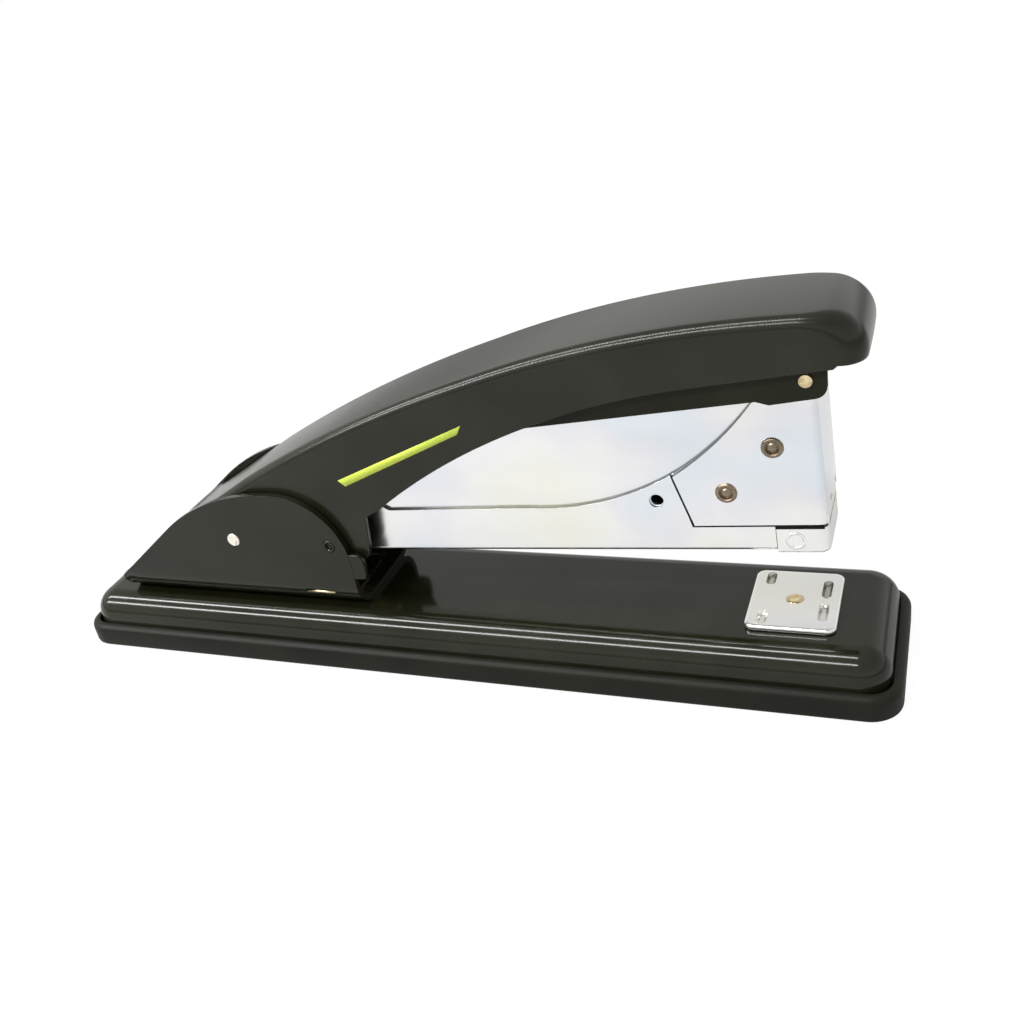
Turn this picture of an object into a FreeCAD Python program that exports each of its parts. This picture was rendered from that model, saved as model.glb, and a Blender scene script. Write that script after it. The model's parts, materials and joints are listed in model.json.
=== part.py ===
"""A desk stapler for full-width staples, as separate pieces in one parametric document.

The frame: millimetres, +Z up, +X towards the mouth, -Y to the right of someone facing +X.
The origin is the middle of the underside of the sole. Pieces of the magazine are drawn in the
magazine's own level frame, with its origin on the pivot pin, and are placed tilted up by the
angle at which the magazine rests. Pieces of the handle are drawn from the pivot too, untilted.
"""
import FreeCAD, Part
import os
import re
import Sketcher

V = FreeCAD.Vector
doc = FreeCAD.newDocument("stapler")

# ---------------------------------------------------------------- driving dimensions
SIZES = (
    ("base_length", 180.0, "sole, back to front"),
    ("base_width", 37.3, "sole, side to side"),
    ("sole_height", 5.3, "height of the sole's rim"),
    ("sole_floor", 2.5, "thickness of the sole under the shell"),
    ("sole_corner", 6.0, "plan radius of the sole's corners"),
    ("rim_width", 2.0, "width of the rim that the shell stands inside"),
    ("shell_top", 11.65, "height of the base shell above the table"),
    ("shell_wall", 1.2, "sheet of the base shell"),
    ("shell_corner", 5.6, "plan radius of the shell's corners"),
    ("shell_edge", 5.2, "radius along the shell's top edge"),
    ("pivot_setback", 46.4, "pivot pin, from the back of the sole"),
    ("pivot_height", 27.8, "pivot pin, above the table"),
    ("pivot_radius", 1.5, "pivot pin"),
    ("pin_clear", 0.05, "running clearance on a pin, radial"),
    ("stop_reach", 23.2, "stop pin, ahead of the pivot"),
    ("stop_drop", 0.4, "stop pin, below the pivot"),
    ("stop_radius", 1.35, "stop pin"),
    ("ear_clear", 0.5, "clearance between the handle's sides and the ears"),
    ("ear_wall", 1.3, "sheet of the rear bracket"),
    ("ear_bend", 6.0, "outer radius of the bracket's bends"),
    ("ear_back", 34.0, "back edge of the ears, behind the pivot"),
    ("ear_front", 27.3, "front edge of the ears, ahead of the pivot"),
    ("ear_top", 11.1, "top of the ears, above the pivot"),
    ("ear_crest", 11.6, "crest of the ears, ahead of the pivot"),
    ("lug_length", 3.0, "stop lug on the front edge of each ear"),
    ("spring_slot", 1.1, "height of the slots that hold the lift spring"),
    ("rivet_radius", 1.5, "shank of the bracket rivets"),
    ("rivet_head", 2.6, "head radius of the bracket rivets"),
    ("rivet_rise", 0.8, "head height of the bracket rivets"),
    ("leaf", 0.5, "sheet of the lift spring"),
    ("leaf_width", 11.0, "width of the lift spring"),
    ("anvil_setback", 20.0, "anvil pivot, from the front of the sole"),
    ("anvil_length", 16.5, "anvil plate, back to front"),
    ("anvil_margin", 3.15, "anvil plate, beyond the staple at each side"),
    ("anvil_sheet", 1.1, "thickness of the anvil plate"),
    ("anvil_corner", 1.8, "plan radius of the anvil's corners"),
    ("anvil_pin", 1.45, "radius of the anvil pivot"),
    ("clinch_lead", 5.5, "clinching pockets, ahead of the anvil pivot"),
    ("pin_lead", 5.2, "pinning pockets, behind the anvil pivot"),
    ("clinch_depth", 0.7, "depth of the anvil's pockets"),
    ("clinch_inner", 1.2, "inner end of a clinching pocket, from the middle"),
    ("pinning_inner", 4.4, "inner end of a pinning pocket, from the middle"),
    ("pocket_width", 1.8, "anvil pocket, back to front"),
    ("staple_crown", 12.8, "outside width of a 24/6 or 26/6 staple"),
    ("staple_wire", 0.55, "thickness of the staple wire"),
    ("staple_clear", 0.2, "side clearance around the staples"),
    ("magazine_tilt", 3.25, "magazine at rest, front end up, in degrees"),
    ("magazine_sheet", 0.7, "sheet of the channel, the frame and the rail nose"),
    ("floor_drop", 6.36, "underside of the channel, below the pivot"),
    ("cheek_rise", 3.35, "top edge of the channel's sides, above the pivot"),
    ("rail_top", 0.6, "top of the staple rail, above the pivot"),
    ("rail_start", 28.0, "back of the staple rail, ahead of the pivot"),
    ("rail_sheet", 0.8, "sheet of the staple rail"),
    ("casing_sheet", 0.7, "sheet of the front casing's sides"),
    ("casing_front", 0.8, "sheet of the front casing's nose"),
    ("casing_top", 24.0, "top of the front casing, above the pivot"),
    ("casing_foot", 0.45, "lower edge of the front casing, below the pivot"),
    ("frame_top", 25.5, "top of the upper frame, above the pivot"),
    ("casing_rivet", 1.2, "shank radius of the casing rivets"),
    ("casing_head", 2.2, "head radius of the casing rivets"),
    ("casing_dome", 0.5, "head height of the casing rivets"),
    ("sight_hole", 1.35, "radius of the hole in the channel's sides"),
    ("nose_length", 9.0, "rail nose, back to front"),
    ("nose_drop", 0.31, "rail nose, below the channel"),
    ("rod_radius", 1.0, "guide rod"),
    ("rod_drop", 2.8, "guide rod, below the pivot"),
    ("coil_outer", 2.1, "outer radius of the pusher spring"),
    ("coil_inner", 1.2, "inner radius of the pusher spring"),
    ("pusher_length", 8.5, "pusher, back to front"),
    ("driver_lead", 6.1, "driver, ahead of the anvil pivot along the magazine"),
    ("driver_sheet", 0.7, "thickness of the driver blade"),
    ("driver_clear", 0.1, "clearance before and behind the driver blade"),
    ("driver_lift", 1.7, "lower edge of the raised driver, above the pivot"),
    ("driver_top", 35.2, "upper edge of the raised driver, above the pivot"),
    ("handle_wall", 1.2, "sheet of the handle shell"),
    ("handle_edge", 2.2, "radius along the handle's top edges"),
    ("bracket_wall", 1.0, "sheet of the handle's inner bracket"),
    ("bracket_gap", 0.1, "clearance between the inner bracket and the handle shell"),
    ("hanger_level", 32.9, "underside of the driver hanger, above the pivot"),
    ("hanger_sheet", 0.75, "sheet of the driver hanger"),
    ("hanger_flange", 0.8, "thickness of the hanger's flanges"),
    ("hanger_setback", 2.6, "gap behind the driver, as the handle swings the hanger forward"),
    ("hanger_clear", 0.1, "clearance between the hanger's flanges and the casing"),
    ("stud_radius", 1.1, "brass studs that hold the hanger"),
    ("stud_rise", 0.4, "height of the studs' heads"),
    ("washer_radius", 3.5, "washers and bush on the pivot pin"),
    ("return_radius", 4.0, "outer radius of the handle's return spring"),
    ("return_wire", 1.0, "wire of the handle's return spring"),
    ("return_length", 7.8, "length of the handle's return spring at rest"),
    ("return_setback", 34.7, "handle's return spring, behind the driver"),
)

sheet = doc.addObject("Spreadsheet::Sheet", "Sizes")
for row, (alias, value, note) in enumerate(SIZES, 1):
    sheet.set(f"A{row}", note)
    sheet.set(f"B{row}", str(value))
    sheet.setAlias(f"B{row}", alias)
doc.recompute()

ALIASES = re.compile(r"\b(" + "|".join(alias for alias, value, note in SIZES) + r")\b")

# Places that several pieces share, worked out from the driving dimensions.
PIVOT_X = "(pivot_setback - base_length / 2)"
ANVIL_X = "(base_length / 2 - anvil_setback)"
REACH = "(base_length - pivot_setback - anvil_setback + driver_lead)"
CROWN_HALF = "(staple_crown / 2)"
CHANNEL_IN = "(staple_crown / 2 + staple_clear)"
CHANNEL_OUT = f"({CHANNEL_IN} + magazine_sheet)"
CASING_OUT = f"({CHANNEL_OUT} + casing_sheet)"
RAIL_HALF = "(staple_crown / 2 - staple_wire - 0.15)"
RAIL_FOOT = "(-floor_drop + magazine_sheet + 0.06)"
GATE_BACK = f"({REACH} - driver_sheet / 2 - driver_clear)"
GATE_FRONT = f"({REACH} + driver_sheet / 2 + driver_clear)"
CASING_END = f"({GATE_FRONT} + casing_front)"
BRACKET_IN = f"({CASING_OUT} + hanger_clear + hanger_flange)"
BRACKET_OUT = f"({BRACKET_IN} + bracket_wall)"
HANDLE_IN = f"({BRACKET_OUT} + bracket_gap)"
HANDLE_OUT = f"({HANDLE_IN} + handle_wall)"
EAR_IN = f"({HANDLE_OUT} + ear_clear)"
EAR_OUT = f"({EAR_IN} + ear_wall)"
NOSE_FLOOR = "(magazine_sheet - floor_drop - nose_drop)"
PUSHER_FRONT = f"({GATE_BACK} - 0.15)"
STUD = (REACH, "27.4")

pieces = []


def bound(text):
    """An expression on the sheet's cells, from one that names only their aliases."""
    return ALIASES.sub(r"Sizes.\1", str(text))


def size(text):
    """The number that an expression has now."""
    return float(sheet.evalExpression(bound(text)))


def new_body(name, frame="world", counts=True):
    """An empty body: in the world frame, on the pivot (handle), or tilted with the magazine."""
    body = doc.addObject("PartDesign::Body", name)
    body.Label = name
    if counts:
        pieces.append(body)
    if frame == "world":
        return body
    tilt = size("-magazine_tilt") if frame == "magazine" else 0
    body.Placement = FreeCAD.Placement(V(0, 0, 0), FreeCAD.Rotation(V(0, 1, 0), tilt or 1))
    body.setExpression("Placement.Rotation.Angle", bound("-magazine_tilt") if tilt else "0")
    body.setExpression("Placement.Base.x", bound(PIVOT_X))
    body.setExpression("Placement.Base.z", bound("pivot_height"))
    return body


def box(body, name, x, y, z, cut=False):
    """A box between low and high limits along x, y and z, added to or cut from a body."""
    kind = "PartDesign::SubtractiveBox" if cut else "PartDesign::AdditiveBox"
    feature = body.newObject(kind, name)
    for side, (low, high) in zip(("Length", "Width", "Height"), (x, y, z)):
        feature.setExpression(side, bound(f"({high}) - ({low})"))
    for axis, (low, high) in zip("xyz", (x, y, z)):
        feature.setExpression(f"Placement.Base.{axis}", bound(low))
    doc.recompute()
    return feature


def both(half):
    """The two limits of a width that is centred on the middle plane."""
    return f"-({half})", half


def hollowed(name, outer, inner):
    """A piece that is one body with another taken out of it."""
    piece = doc.addObject("Part::Cut", name)
    piece.Label = name
    piece.Base = outer
    piece.Tool = inner
    pieces.append(piece)


TURNS = {
    "x": FreeCAD.Rotation(V(0, 1, 0), 90),
    "y": FreeCAD.Rotation(V(1, 0, 0), -90),
    "z": FreeCAD.Rotation(),
}


def rod(body, name, axis, centre, radius, span, cut=False):
    """A round bar along an axis: centre gives the other two coordinates, span its two ends."""
    kind = "PartDesign::SubtractiveCylinder" if cut else "PartDesign::AdditiveCylinder"
    feature = body.newObject(kind, name)
    feature.Placement = FreeCAD.Placement(V(0, 0, 0), TURNS[axis])
    feature.setExpression("Radius", bound(radius))
    feature.setExpression("Height", bound(f"({span[1]}) - ({span[0]})"))
    feature.setExpression(f"Placement.Base.{axis}", bound(span[0]))
    for other, place in zip("xyz".replace(axis, ""), centre):
        feature.setExpression(f"Placement.Base.{other}", bound(place))
    doc.recompute()
    return feature


def outline(body, name, corners):
    """A closed sketch on the body's side plane. A corner is (x, z), reached by a straight edge,
    or (x, z, through x, through z), reached by an arc."""
    sketch = body.newObject("Sketcher::SketchObject", name)
    planes = body.Origin.OriginFeatures
    side_plane = next(plane for plane in planes if plane.Role == "XZ_Plane")
    sketch.AttachmentSupport = [(side_plane, "")]
    sketch.MapMode = "FlatFace"
    spots = [V(size(corner[0]), size(corner[1]), 0) for corner in corners]
    edges = []
    for start, corner in enumerate(corners):
        end = (start + 1) % len(corners)
        goal = corners[end]
        if len(goal) == 4:
            middle = V(size(goal[2]), size(goal[3]), 0)
            index = sketch.addGeometry(Part.Arc(spots[start], middle, spots[end]))
        else:
            index = sketch.addGeometry(Part.LineSegment(spots[start], spots[end]))
        forward = (sketch.getPoint(index, 1) - spots[start]).Length < 1e-6
        edges.append((index, 1, 2) if forward else (index, 2, 1))
    for number, corner in enumerate(corners):
        index, first, last = edges[number]
        following, start, _ = edges[(number + 1) % len(corners)]
        sketch.addConstraint(Sketcher.Constraint("Coincident", index, last, following, start))
        pin_down(sketch, f"corner{number}", index, first, corner[0], corner[1])
        if len(corner) == 4:
            arc = edges[number - 1][0]
            through = Part.Point(V(size(corner[2]), size(corner[3]), 0))
            point = sketch.addGeometry(through, True)
            pin_down(sketch, f"through{number}", point, 1, corner[2], corner[3])
            sketch.addConstraint(Sketcher.Constraint("PointOnObject", point, 1, arc))
    doc.recompute()
    return sketch


def pin_down(sketch, name, index, point, x, z):
    """Bind one point of a sketch to two expressions."""
    for kind, letter, place in (("DistanceX", "x", x), ("DistanceY", "z", z)):
        number = sketch.addConstraint(Sketcher.Constraint(kind, index, point, size(place)))
        sketch.renameConstraint(number, name + letter)
        sketch.setExpression(f"Constraints.{name}{letter}", bound(place))


def pad(body, name, corners, width, cut=False):
    """A side outline carried equally to both sides of the middle plane."""
    sketch = outline(body, name + "_outline", corners)
    feature = body.newObject("PartDesign::Pocket" if cut else "PartDesign::Pad", name)
    feature.Profile = sketch
    feature.Midplane = True
    feature.setExpression("Length", bound(width))
    sketch.Visibility = False
    doc.recompute()
    return feature


def fillet(body, name, radius, chosen):
    """Round every edge of the body's last feature whose bounding box satisfies chosen."""
    base = body.Tip
    names = [
        f"Edge{number}"
        for number, edge in enumerate(base.Shape.Edges, 1)
        if chosen(edge.BoundBox)
    ]
    feature = body.newObject("PartDesign::Fillet", name)
    feature.Base = (base, names)
    feature.setExpression("Radius", bound(radius))
    doc.recompute()
    return feature


def upright(limits):
    """Whether an edge stands straight up."""
    return limits.XLength < 1e-3 and limits.YLength < 1e-3


# ---------------------------------------------------------------- base
SHELL_X = both("base_length / 2 - rim_width")
SHELL_Y = both("base_width / 2 - rim_width")
CAVITY_X = both("base_length / 2 - rim_width - shell_wall")
CAVITY_Y = both("base_width / 2 - rim_width - shell_wall")


def make_base_sole():
    """A rubber tray: a floor and a rim that the base shell stands inside."""
    body = new_body("base_sole")
    box(body, "block", both("base_length / 2"), both("base_width / 2"), ("0", "sole_height"))
    fillet(body, "corners", "sole_corner", upright)
    box(body, "tray", SHELL_X, SHELL_Y, ("sole_floor", "sole_height + 1"), cut=True)
    inner = size("base_length / 2 - rim_width")
    fillet(body, "tray_corners", "shell_corner",
           lambda b: upright(b) and abs(abs(b.XMin) - inner) < 1e-3)


def make_base_shell():
    """A pressed steel cover, open underneath, with a generous radius round its top."""
    body = new_body("shell_outside", counts=False)
    top = size("shell_top")
    box(body, "block", SHELL_X, SHELL_Y, ("sole_floor", "shell_top"))
    fillet(body, "corners", "shell_corner", upright)
    fillet(body, "top_edge", "shell_edge", lambda b: b.ZMin > top - 1e-3)
    rod(body, "anvil_hole", "z", (ANVIL_X, "0"), "anvil_pin + pin_clear",
        ("sole_floor", "shell_top + 1"), cut=True)
    for name, x in RIVET_PLACES:
        rod(body, name, "z", (x, "0"), "rivet_radius", ("sole_floor", "shell_top + 1"), cut=True)
    cavity = new_body("shell_cavity", counts=False)
    ceiling = size("shell_top - shell_wall")
    box(cavity, "block", CAVITY_X, CAVITY_Y, ("0", "shell_top - shell_wall"))
    fillet(cavity, "corners", "shell_corner - shell_wall", upright)
    fillet(cavity, "top_edge", "shell_edge - shell_wall", lambda b: b.ZMin > ceiling - 1e-3)
    hollowed("base_shell", body, cavity)


RIVET_PLACES = (("back_rivet", f"{PIVOT_X} - 18"), ("front_rivet", f"{PIVOT_X} + 8"))
EAR_BACK = f"({PIVOT_X} - ear_back)"
EAR_FRONT = f"({PIVOT_X} + ear_front)"
EAR_CREST = f"({PIVOT_X} + ear_crest)"
EAR_TOP = "(pivot_height + ear_top)"
STOP_X = f"({PIVOT_X} + stop_reach)"
STOP_Z = "(pivot_height - stop_drop)"
SLOT_LOW = "(shell_top + 3.5)"
SLOT_BACK = f"({PIVOT_X} + 14.6)"
SLOT_FRONT = f"({PIVOT_X} + 21.6)"
NOSE_ROUND = "(ear_front - ear_crest)"


def make_rear_bracket():
    """One bent sheet: a floor on the base shell and two upright ears."""
    body = new_body("bracket_outside", counts=False)
    back_top = (f"{PIVOT_X} - 16.6", "pivot_height + 1.9")
    pad(body, "block", (
        (EAR_BACK, "shell_top"),
        (EAR_FRONT, "shell_top"),
        (EAR_FRONT, f"{EAR_TOP} - {NOSE_ROUND}"),
        (EAR_CREST, EAR_TOP,
         f"{EAR_CREST} + {NOSE_ROUND} * 0.70711", f"{EAR_TOP} - {NOSE_ROUND} * 0.29289"),
        (*back_top, f"{PIVOT_X} - 3.6", f"{EAR_TOP} - 2.35"),
        (EAR_BACK, "pivot_height - 11.4"),
    ), f"{EAR_OUT} * 2")
    floor = size("shell_top")
    fillet(body, "outer_bends", "ear_bend",
           lambda b: b.XLength > 20 and b.YLength < 1e-3 and abs(b.ZMin - floor) < 1e-3)
    for name, y in (("near_lug", (f"-{EAR_OUT}", f"-{EAR_IN}")),
                    ("far_lug", (EAR_IN, EAR_OUT))):
        box(body, name, (f"{EAR_FRONT} - 1.2", f"{EAR_FRONT} + lug_length"), y,
            ("pivot_height - 8.3", "pivot_height - 2.3"))
    across = both("base_width")
    rod(body, "pivot_hole", "y", (PIVOT_X, "pivot_height"), "pivot_radius", across, cut=True)
    rod(body, "stop_hole", "y", (STOP_X, STOP_Z), "stop_radius", across, cut=True)
    box(body, "spring_slots", (SLOT_BACK, SLOT_FRONT), across,
        (SLOT_LOW, f"{SLOT_LOW} + spring_slot"), cut=True)
    for name, x in RIVET_PLACES:
        rod(body, name, "z", (x, "0"), "rivet_radius",
            ("shell_top - 1", "shell_top + ear_wall + 1"), cut=True)
    gap = new_body("bracket_gap_body", counts=False)
    box(gap, "block", (f"{EAR_BACK} - 5", f"{EAR_FRONT} + 5"), both(EAR_IN),
        ("shell_top + ear_wall", f"{EAR_TOP} + 5"))
    inner = size("shell_top + ear_wall")
    fillet(gap, "inner_bends", "ear_bend - ear_wall",
           lambda b: b.XLength > 20 and b.ZMax < inner + 1e-3)
    hollowed("rear_bracket", body, gap)


def make_bracket_rivets():
    """Two rivets that hold the bracket's floor to the base shell."""
    body = new_body("bracket_rivets")
    above = "(shell_top + ear_wall)"
    below = "(shell_top - shell_wall)"
    for name, x in RIVET_PLACES:
        rod(body, name, "z", (x, "0"), "rivet_radius", (below, above))
        rod(body, name + "_head", "z", (x, "0"), "rivet_head", (above, f"{above} + rivet_rise"))
        rod(body, name + "_tail", "z", (x, "0"), "rivet_head", (f"{below} - rivet_rise", below))


def make_pins():
    """The pivot pin and the stop pin, each from ear to ear and a little proud of both."""
    ends = both(f"{EAR_OUT} + 0.25")
    body = new_body("pivot_pin")
    rod(body, "pin", "y", (PIVOT_X, "pivot_height"), "pivot_radius", ends)
    fillet(body, "ends", "0.3", lambda b: b.YLength < 1e-3 and b.XLength > 1)
    body = new_body("stop_pin")
    rod(body, "pin", "y", (STOP_X, STOP_Z), "stop_radius", ends)
    for name, span in (("near_dimple", (f"-{EAR_OUT} - 1", f"-{EAR_OUT} + 0.4")),
                       ("far_dimple", (f"{EAR_OUT} - 0.4", f"{EAR_OUT} + 1"))):
        rod(body, name, "y", (STOP_X, STOP_Z), "stop_radius * 0.45", span, cut=True)


def make_lift_spring():
    """A hairpin of flat spring: its lower leg sits in the bracket's slots, its upper leg
    carries the magazine."""
    body = new_body("lift_spring")
    low = f"({SLOT_LOW} + 0.2)"
    back = f"({PIVOT_X} + 5)"
    tip = f"({PIVOT_X} + 25.6)"
    touch = f"(pivot_height - floor_drop * cos(magazine_tilt) + 25.6 * tan(magazine_tilt) - 0.1)"
    pad(body, "leaf", (
        (SLOT_FRONT, low),
        (SLOT_FRONT, f"{low} + leaf"),
        (back, f"{low} + leaf"),
        (back, f"{low} + leaf + 1.6", f"{back} - 0.8", f"{low} + leaf + 0.8"),
        (tip, f"{touch} - leaf"),
        (tip, touch),
        (back, f"{low} + leaf * 2 + 1.6"),
        (back, low, f"{back} - 0.8 - leaf", f"{low} + leaf + 0.8"),
    ), "leaf_width")
    box(body, "slot_tabs", (f"{SLOT_BACK} + 0.2", f"{SLOT_FRONT} - 0.2"),
        both(f"{EAR_OUT} - 0.35"), (low, f"{low} + leaf"))


# ---------------------------------------------------------------- anvil
ANVIL_LOW = "(shell_top + 0.05)"
ANVIL_TOP = f"({ANVIL_LOW} + anvil_sheet)"
RETAINER_TOP = "(sole_floor + 2.9)"


def make_anvil():
    """A plate that turns half a turn on its rivet, to fold the legs in or out."""
    body = new_body("anvil_plate")
    box(body, "plate", (f"{ANVIL_X} - anvil_length / 2", f"{ANVIL_X} + anvil_length / 2"),
        both(f"{CROWN_HALF} + anvil_margin"), (ANVIL_LOW, ANVIL_TOP))
    fillet(body, "corners", "anvil_corner", upright)
    rims = size(ANVIL_TOP)
    fillet(body, "rim", "0.3", lambda b: b.ZMin > rims - 1e-3)
    rod(body, "hole", "z", (ANVIL_X, "0"), "anvil_pin", ("shell_top - 1", "shell_top + 5"), cut=True)
    clinch = f"{ANVIL_X} + clinch_lead"
    pinning = f"{ANVIL_X} - pin_lead"
    outer = f"({CROWN_HALF} + 0.2)"
    pockets = (("clinch", clinch, "clinch_inner", outer),
               ("pinning", pinning, "pinning_inner", f"({outer} + 2)"))
    for name, x, inner_end, outer_end in pockets:
        for side, y in (("far", (inner_end, outer_end)),
                        ("near", (f"-{outer_end}", f"-{inner_end}"))):
            box(body, f"{name}_{side}", (f"{x} - pocket_width / 2", f"{x} + pocket_width / 2"),
                y, (f"{ANVIL_TOP} - clinch_depth", f"{ANVIL_TOP} + 1"), cut=True)
    body = new_body("anvil_pivot")
    rod(body, "shank", "z", (ANVIL_X, "0"), "anvil_pin", (f"{RETAINER_TOP} - 1.4", ANVIL_TOP))
    body = new_body("anvil_spring")
    spring = (RETAINER_TOP, "shell_top - shell_wall - 0.05")
    rod(body, "coil", "z", (ANVIL_X, "0"), "anvil_pin + 1.7", spring)
    rod(body, "inside", "z", (ANVIL_X, "0"), "anvil_pin + 0.9", spring, cut=True)
    body = new_body("anvil_retainer")
    collar = (f"{RETAINER_TOP} - 0.8", RETAINER_TOP)
    rod(body, "washer", "z", (ANVIL_X, "0"), "anvil_pin + 2.2", collar)
    rod(body, "hole", "z", (ANVIL_X, "0"), "anvil_pin", collar, cut=True)


# ---------------------------------------------------------------- magazine
CURVE_BACK = f"({REACH} - 53.7)"
CURVE_TOP = f"({REACH} - 8.6)"
STOP_SLOT = "(stop_radius + pin_clear)"
RIVETS = (("upper", f"{REACH} - 6.7", "14.7"), ("lower", f"{REACH} - 15.4", "6.2"))


def rivet_holes(body, radius="casing_rivet"):
    """The holes that the casing rivets pass through."""
    for name, u, w in RIVETS:
        rod(body, name + "_rivet_hole", "y", (u, w), radius, both("base_width"), cut=True)


def make_magazine_channel():
    """A channel open at the top: floor and two sides, rising in a curve to the front."""
    body = new_body("magazine_channel", "magazine")
    pad(body, "block", (
        (f"{CASING_END} - nose_length - 0.1", "-floor_drop"),
        (f"{CASING_END} - nose_length - 0.1", "-casing_foot - 0.45"),
        (GATE_FRONT, "-casing_foot - 0.45"),
        (GATE_FRONT, "casing_top"),
        (CURVE_TOP, "casing_top"),
        (CURVE_BACK, "cheek_rise", f"{CURVE_BACK} + 26.6", "cheek_rise + 5.2"),
        ("rail_start + 8", "cheek_rise"),
        ("rail_start + 3", "washer_radius + 3"),
        ("0", "washer_radius + 3"),
        ("-washer_radius - 3", "0",
         "-(washer_radius + 3) * 0.70711", "(washer_radius + 3) * 0.70711"),
        ("-washer_radius - 3", "-floor_drop"),
    ), f"{CHANNEL_OUT} * 2")
    box(body, "trough", ("-20", f"{REACH} + 20"), both(CHANNEL_IN),
        ("magazine_sheet - floor_drop", "casing_top + 5"), cut=True)
    across = both("base_width")
    rod(body, "pivot_hole", "y", ("0", "0"), "pivot_radius + pin_clear", across, cut=True)
    rod(body, "sight_hole", "y", (f"{REACH} - 28.3", "4.4"), "sight_hole", across, cut=True)
    box(body, "stop_slot", (f"stop_reach - {STOP_SLOT}", f"stop_reach + {STOP_SLOT}"), across,
        (f"-1.72 - {STOP_SLOT}", f"1.2 + {STOP_SLOT}"), cut=True)
    rivet_holes(body)


def make_upper_frame():
    """An upside-down channel inside the magazine's sides, which carries the return spring."""
    body = new_body("upper_frame", "magazine")
    low = "(rail_top + 1.2)"
    back = "(rail_start + 2)"
    ridge = f"({REACH} - 47.7)"
    web_end = f"({REACH} - 15)"
    pad(body, "block", (
        (back, low),
        (f"{GATE_BACK} - 0.1", low),
        (f"{GATE_BACK} - 0.1", "casing_top"),
        (f"{web_end} + 2", "casing_top"),
        (web_end, "frame_top"),
        (ridge, "frame_top"),
        (back, "frame_top - 14"),
    ), f"{CHANNEL_IN} * 2")
    pad(body, "hollow", (
        (f"{back} - 5", f"{low} - 5"),
        (f"{REACH} + 5", f"{low} - 5"),
        (f"{REACH} + 5", "frame_top + 5"),
        (f"{web_end} + 1", "frame_top + 5"),
        (f"{web_end} + 1", "frame_top - magazine_sheet"),
        (f"{ridge} + 0.2", "frame_top - magazine_sheet"),
        (f"{back} - 5", f"frame_top - 14 - magazine_sheet * 1.06 - 70 / ({ridge} - {back})"),
    ), f"({CHANNEL_IN} - magazine_sheet) * 2", cut=True)
    rivet_holes(body)


def make_front_casing():
    """The tall casing round the driver: two sides and a nose, open at the top and below."""
    body = new_body("front_casing", "magazine")
    pad(body, "block", (
        (f"{REACH} - 21.8", "-casing_foot"),
        (CASING_END, "-casing_foot"),
        (CASING_END, "casing_top"),
        (CURVE_TOP, "casing_top"),
        (f"{REACH} - 24.5", "9.6", f"{REACH} - 15.0", "16.9"),
    ), f"{CASING_OUT} * 2")
    front = size(CASING_END)
    fillet(body, "nose_corners", "casing_front + 0.5",
           lambda b: upright(b) and b.XMin > front - 1e-3)
    box(body, "inside", (f"{REACH} - 40", GATE_FRONT), both(CHANNEL_OUT),
        ("-casing_foot - 5", "casing_top + 5"), cut=True)
    box(body, "mouth", (f"{REACH} - 1", f"{CASING_END} + 5"), both(CHANNEL_OUT),
        ("-casing_foot - 5", "rail_top + 1.3"), cut=True)
    rivet_holes(body)


def make_casing_rivets():
    """Two rivets right through the casing, the channel and the frame, headed at both ends."""
    body = new_body("casing_rivets", "magazine")
    for name, u, w in RIVETS:
        rod(body, name, "y", (u, w), "casing_rivet", both(CASING_OUT))
        rod(body, name + "_near", "y", (u, w), "casing_head",
            (f"-{CASING_OUT} - casing_dome", f"-{CASING_OUT}"))
        rod(body, name + "_far", "y", (u, w), "casing_head",
            (CASING_OUT, f"{CASING_OUT} + casing_dome"))
    fillet(body, "domes", "casing_dome * 0.8",
           lambda b: b.YLength < 1e-3 and abs(b.YMin) > size(CASING_OUT) + 0.1)


def make_pivot_bush():
    """The sleeve that keeps the channel's sides apart on the pivot pin."""
    body = new_body("pivot_bush", "magazine")
    rod(body, "sleeve", "y", ("0", "0"), "washer_radius", both(CHANNEL_IN))
    rod(body, "bore", "y", ("0", "0"), "pivot_radius + pin_clear", both(CHANNEL_IN), cut=True)


def make_return_spring():
    """The spring that lifts the handle off the frame, as the sleeve that its coils fill."""
    body = new_body("return_spring", "magazine")
    span = ("frame_top", "frame_top + return_length")
    centre = (f"{REACH} - return_setback", "0")
    rod(body, "coil", "z", centre, "return_radius", span)
    rod(body, "inside", "z", centre, "return_radius - return_wire", span, cut=True)


# ---------------------------------------------------------------- rail and pusher
def make_staple_rail():
    """The rail that the staples straddle: an upside-down channel with closed ends."""
    body = new_body("staple_rail", "magazine")
    ends = ("rail_start", GATE_BACK)
    inside = ("rail_start + rail_sheet", f"{GATE_BACK} - rail_sheet")
    box(body, "block", ends, both(RAIL_HALF), (RAIL_FOOT, "rail_top"))
    box(body, "flanges", ("rail_start", f"{CASING_END} - nose_length - 0.3"),
        both(f"{CHANNEL_IN} - 0.1"), (RAIL_FOOT, f"{RAIL_FOOT} + 0.5"))
    box(body, "hollow", inside, both(f"{RAIL_HALF} - rail_sheet"),
        (f"{RAIL_FOOT} - 1", "rail_top - rail_sheet"), cut=True)
    box(body, "track", ("rail_start + 6", f"{GATE_BACK} - 3"), both("1.3"),
        ("rail_top - 2", "rail_top + 1"), cut=True)
    box(body, "foot", (f"{CASING_END} - nose_length + 0.1", f"{GATE_BACK} - 0.3"),
        both(RAIL_HALF), (NOSE_FLOOR, f"{NOSE_FLOOR} + 0.6"))


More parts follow.
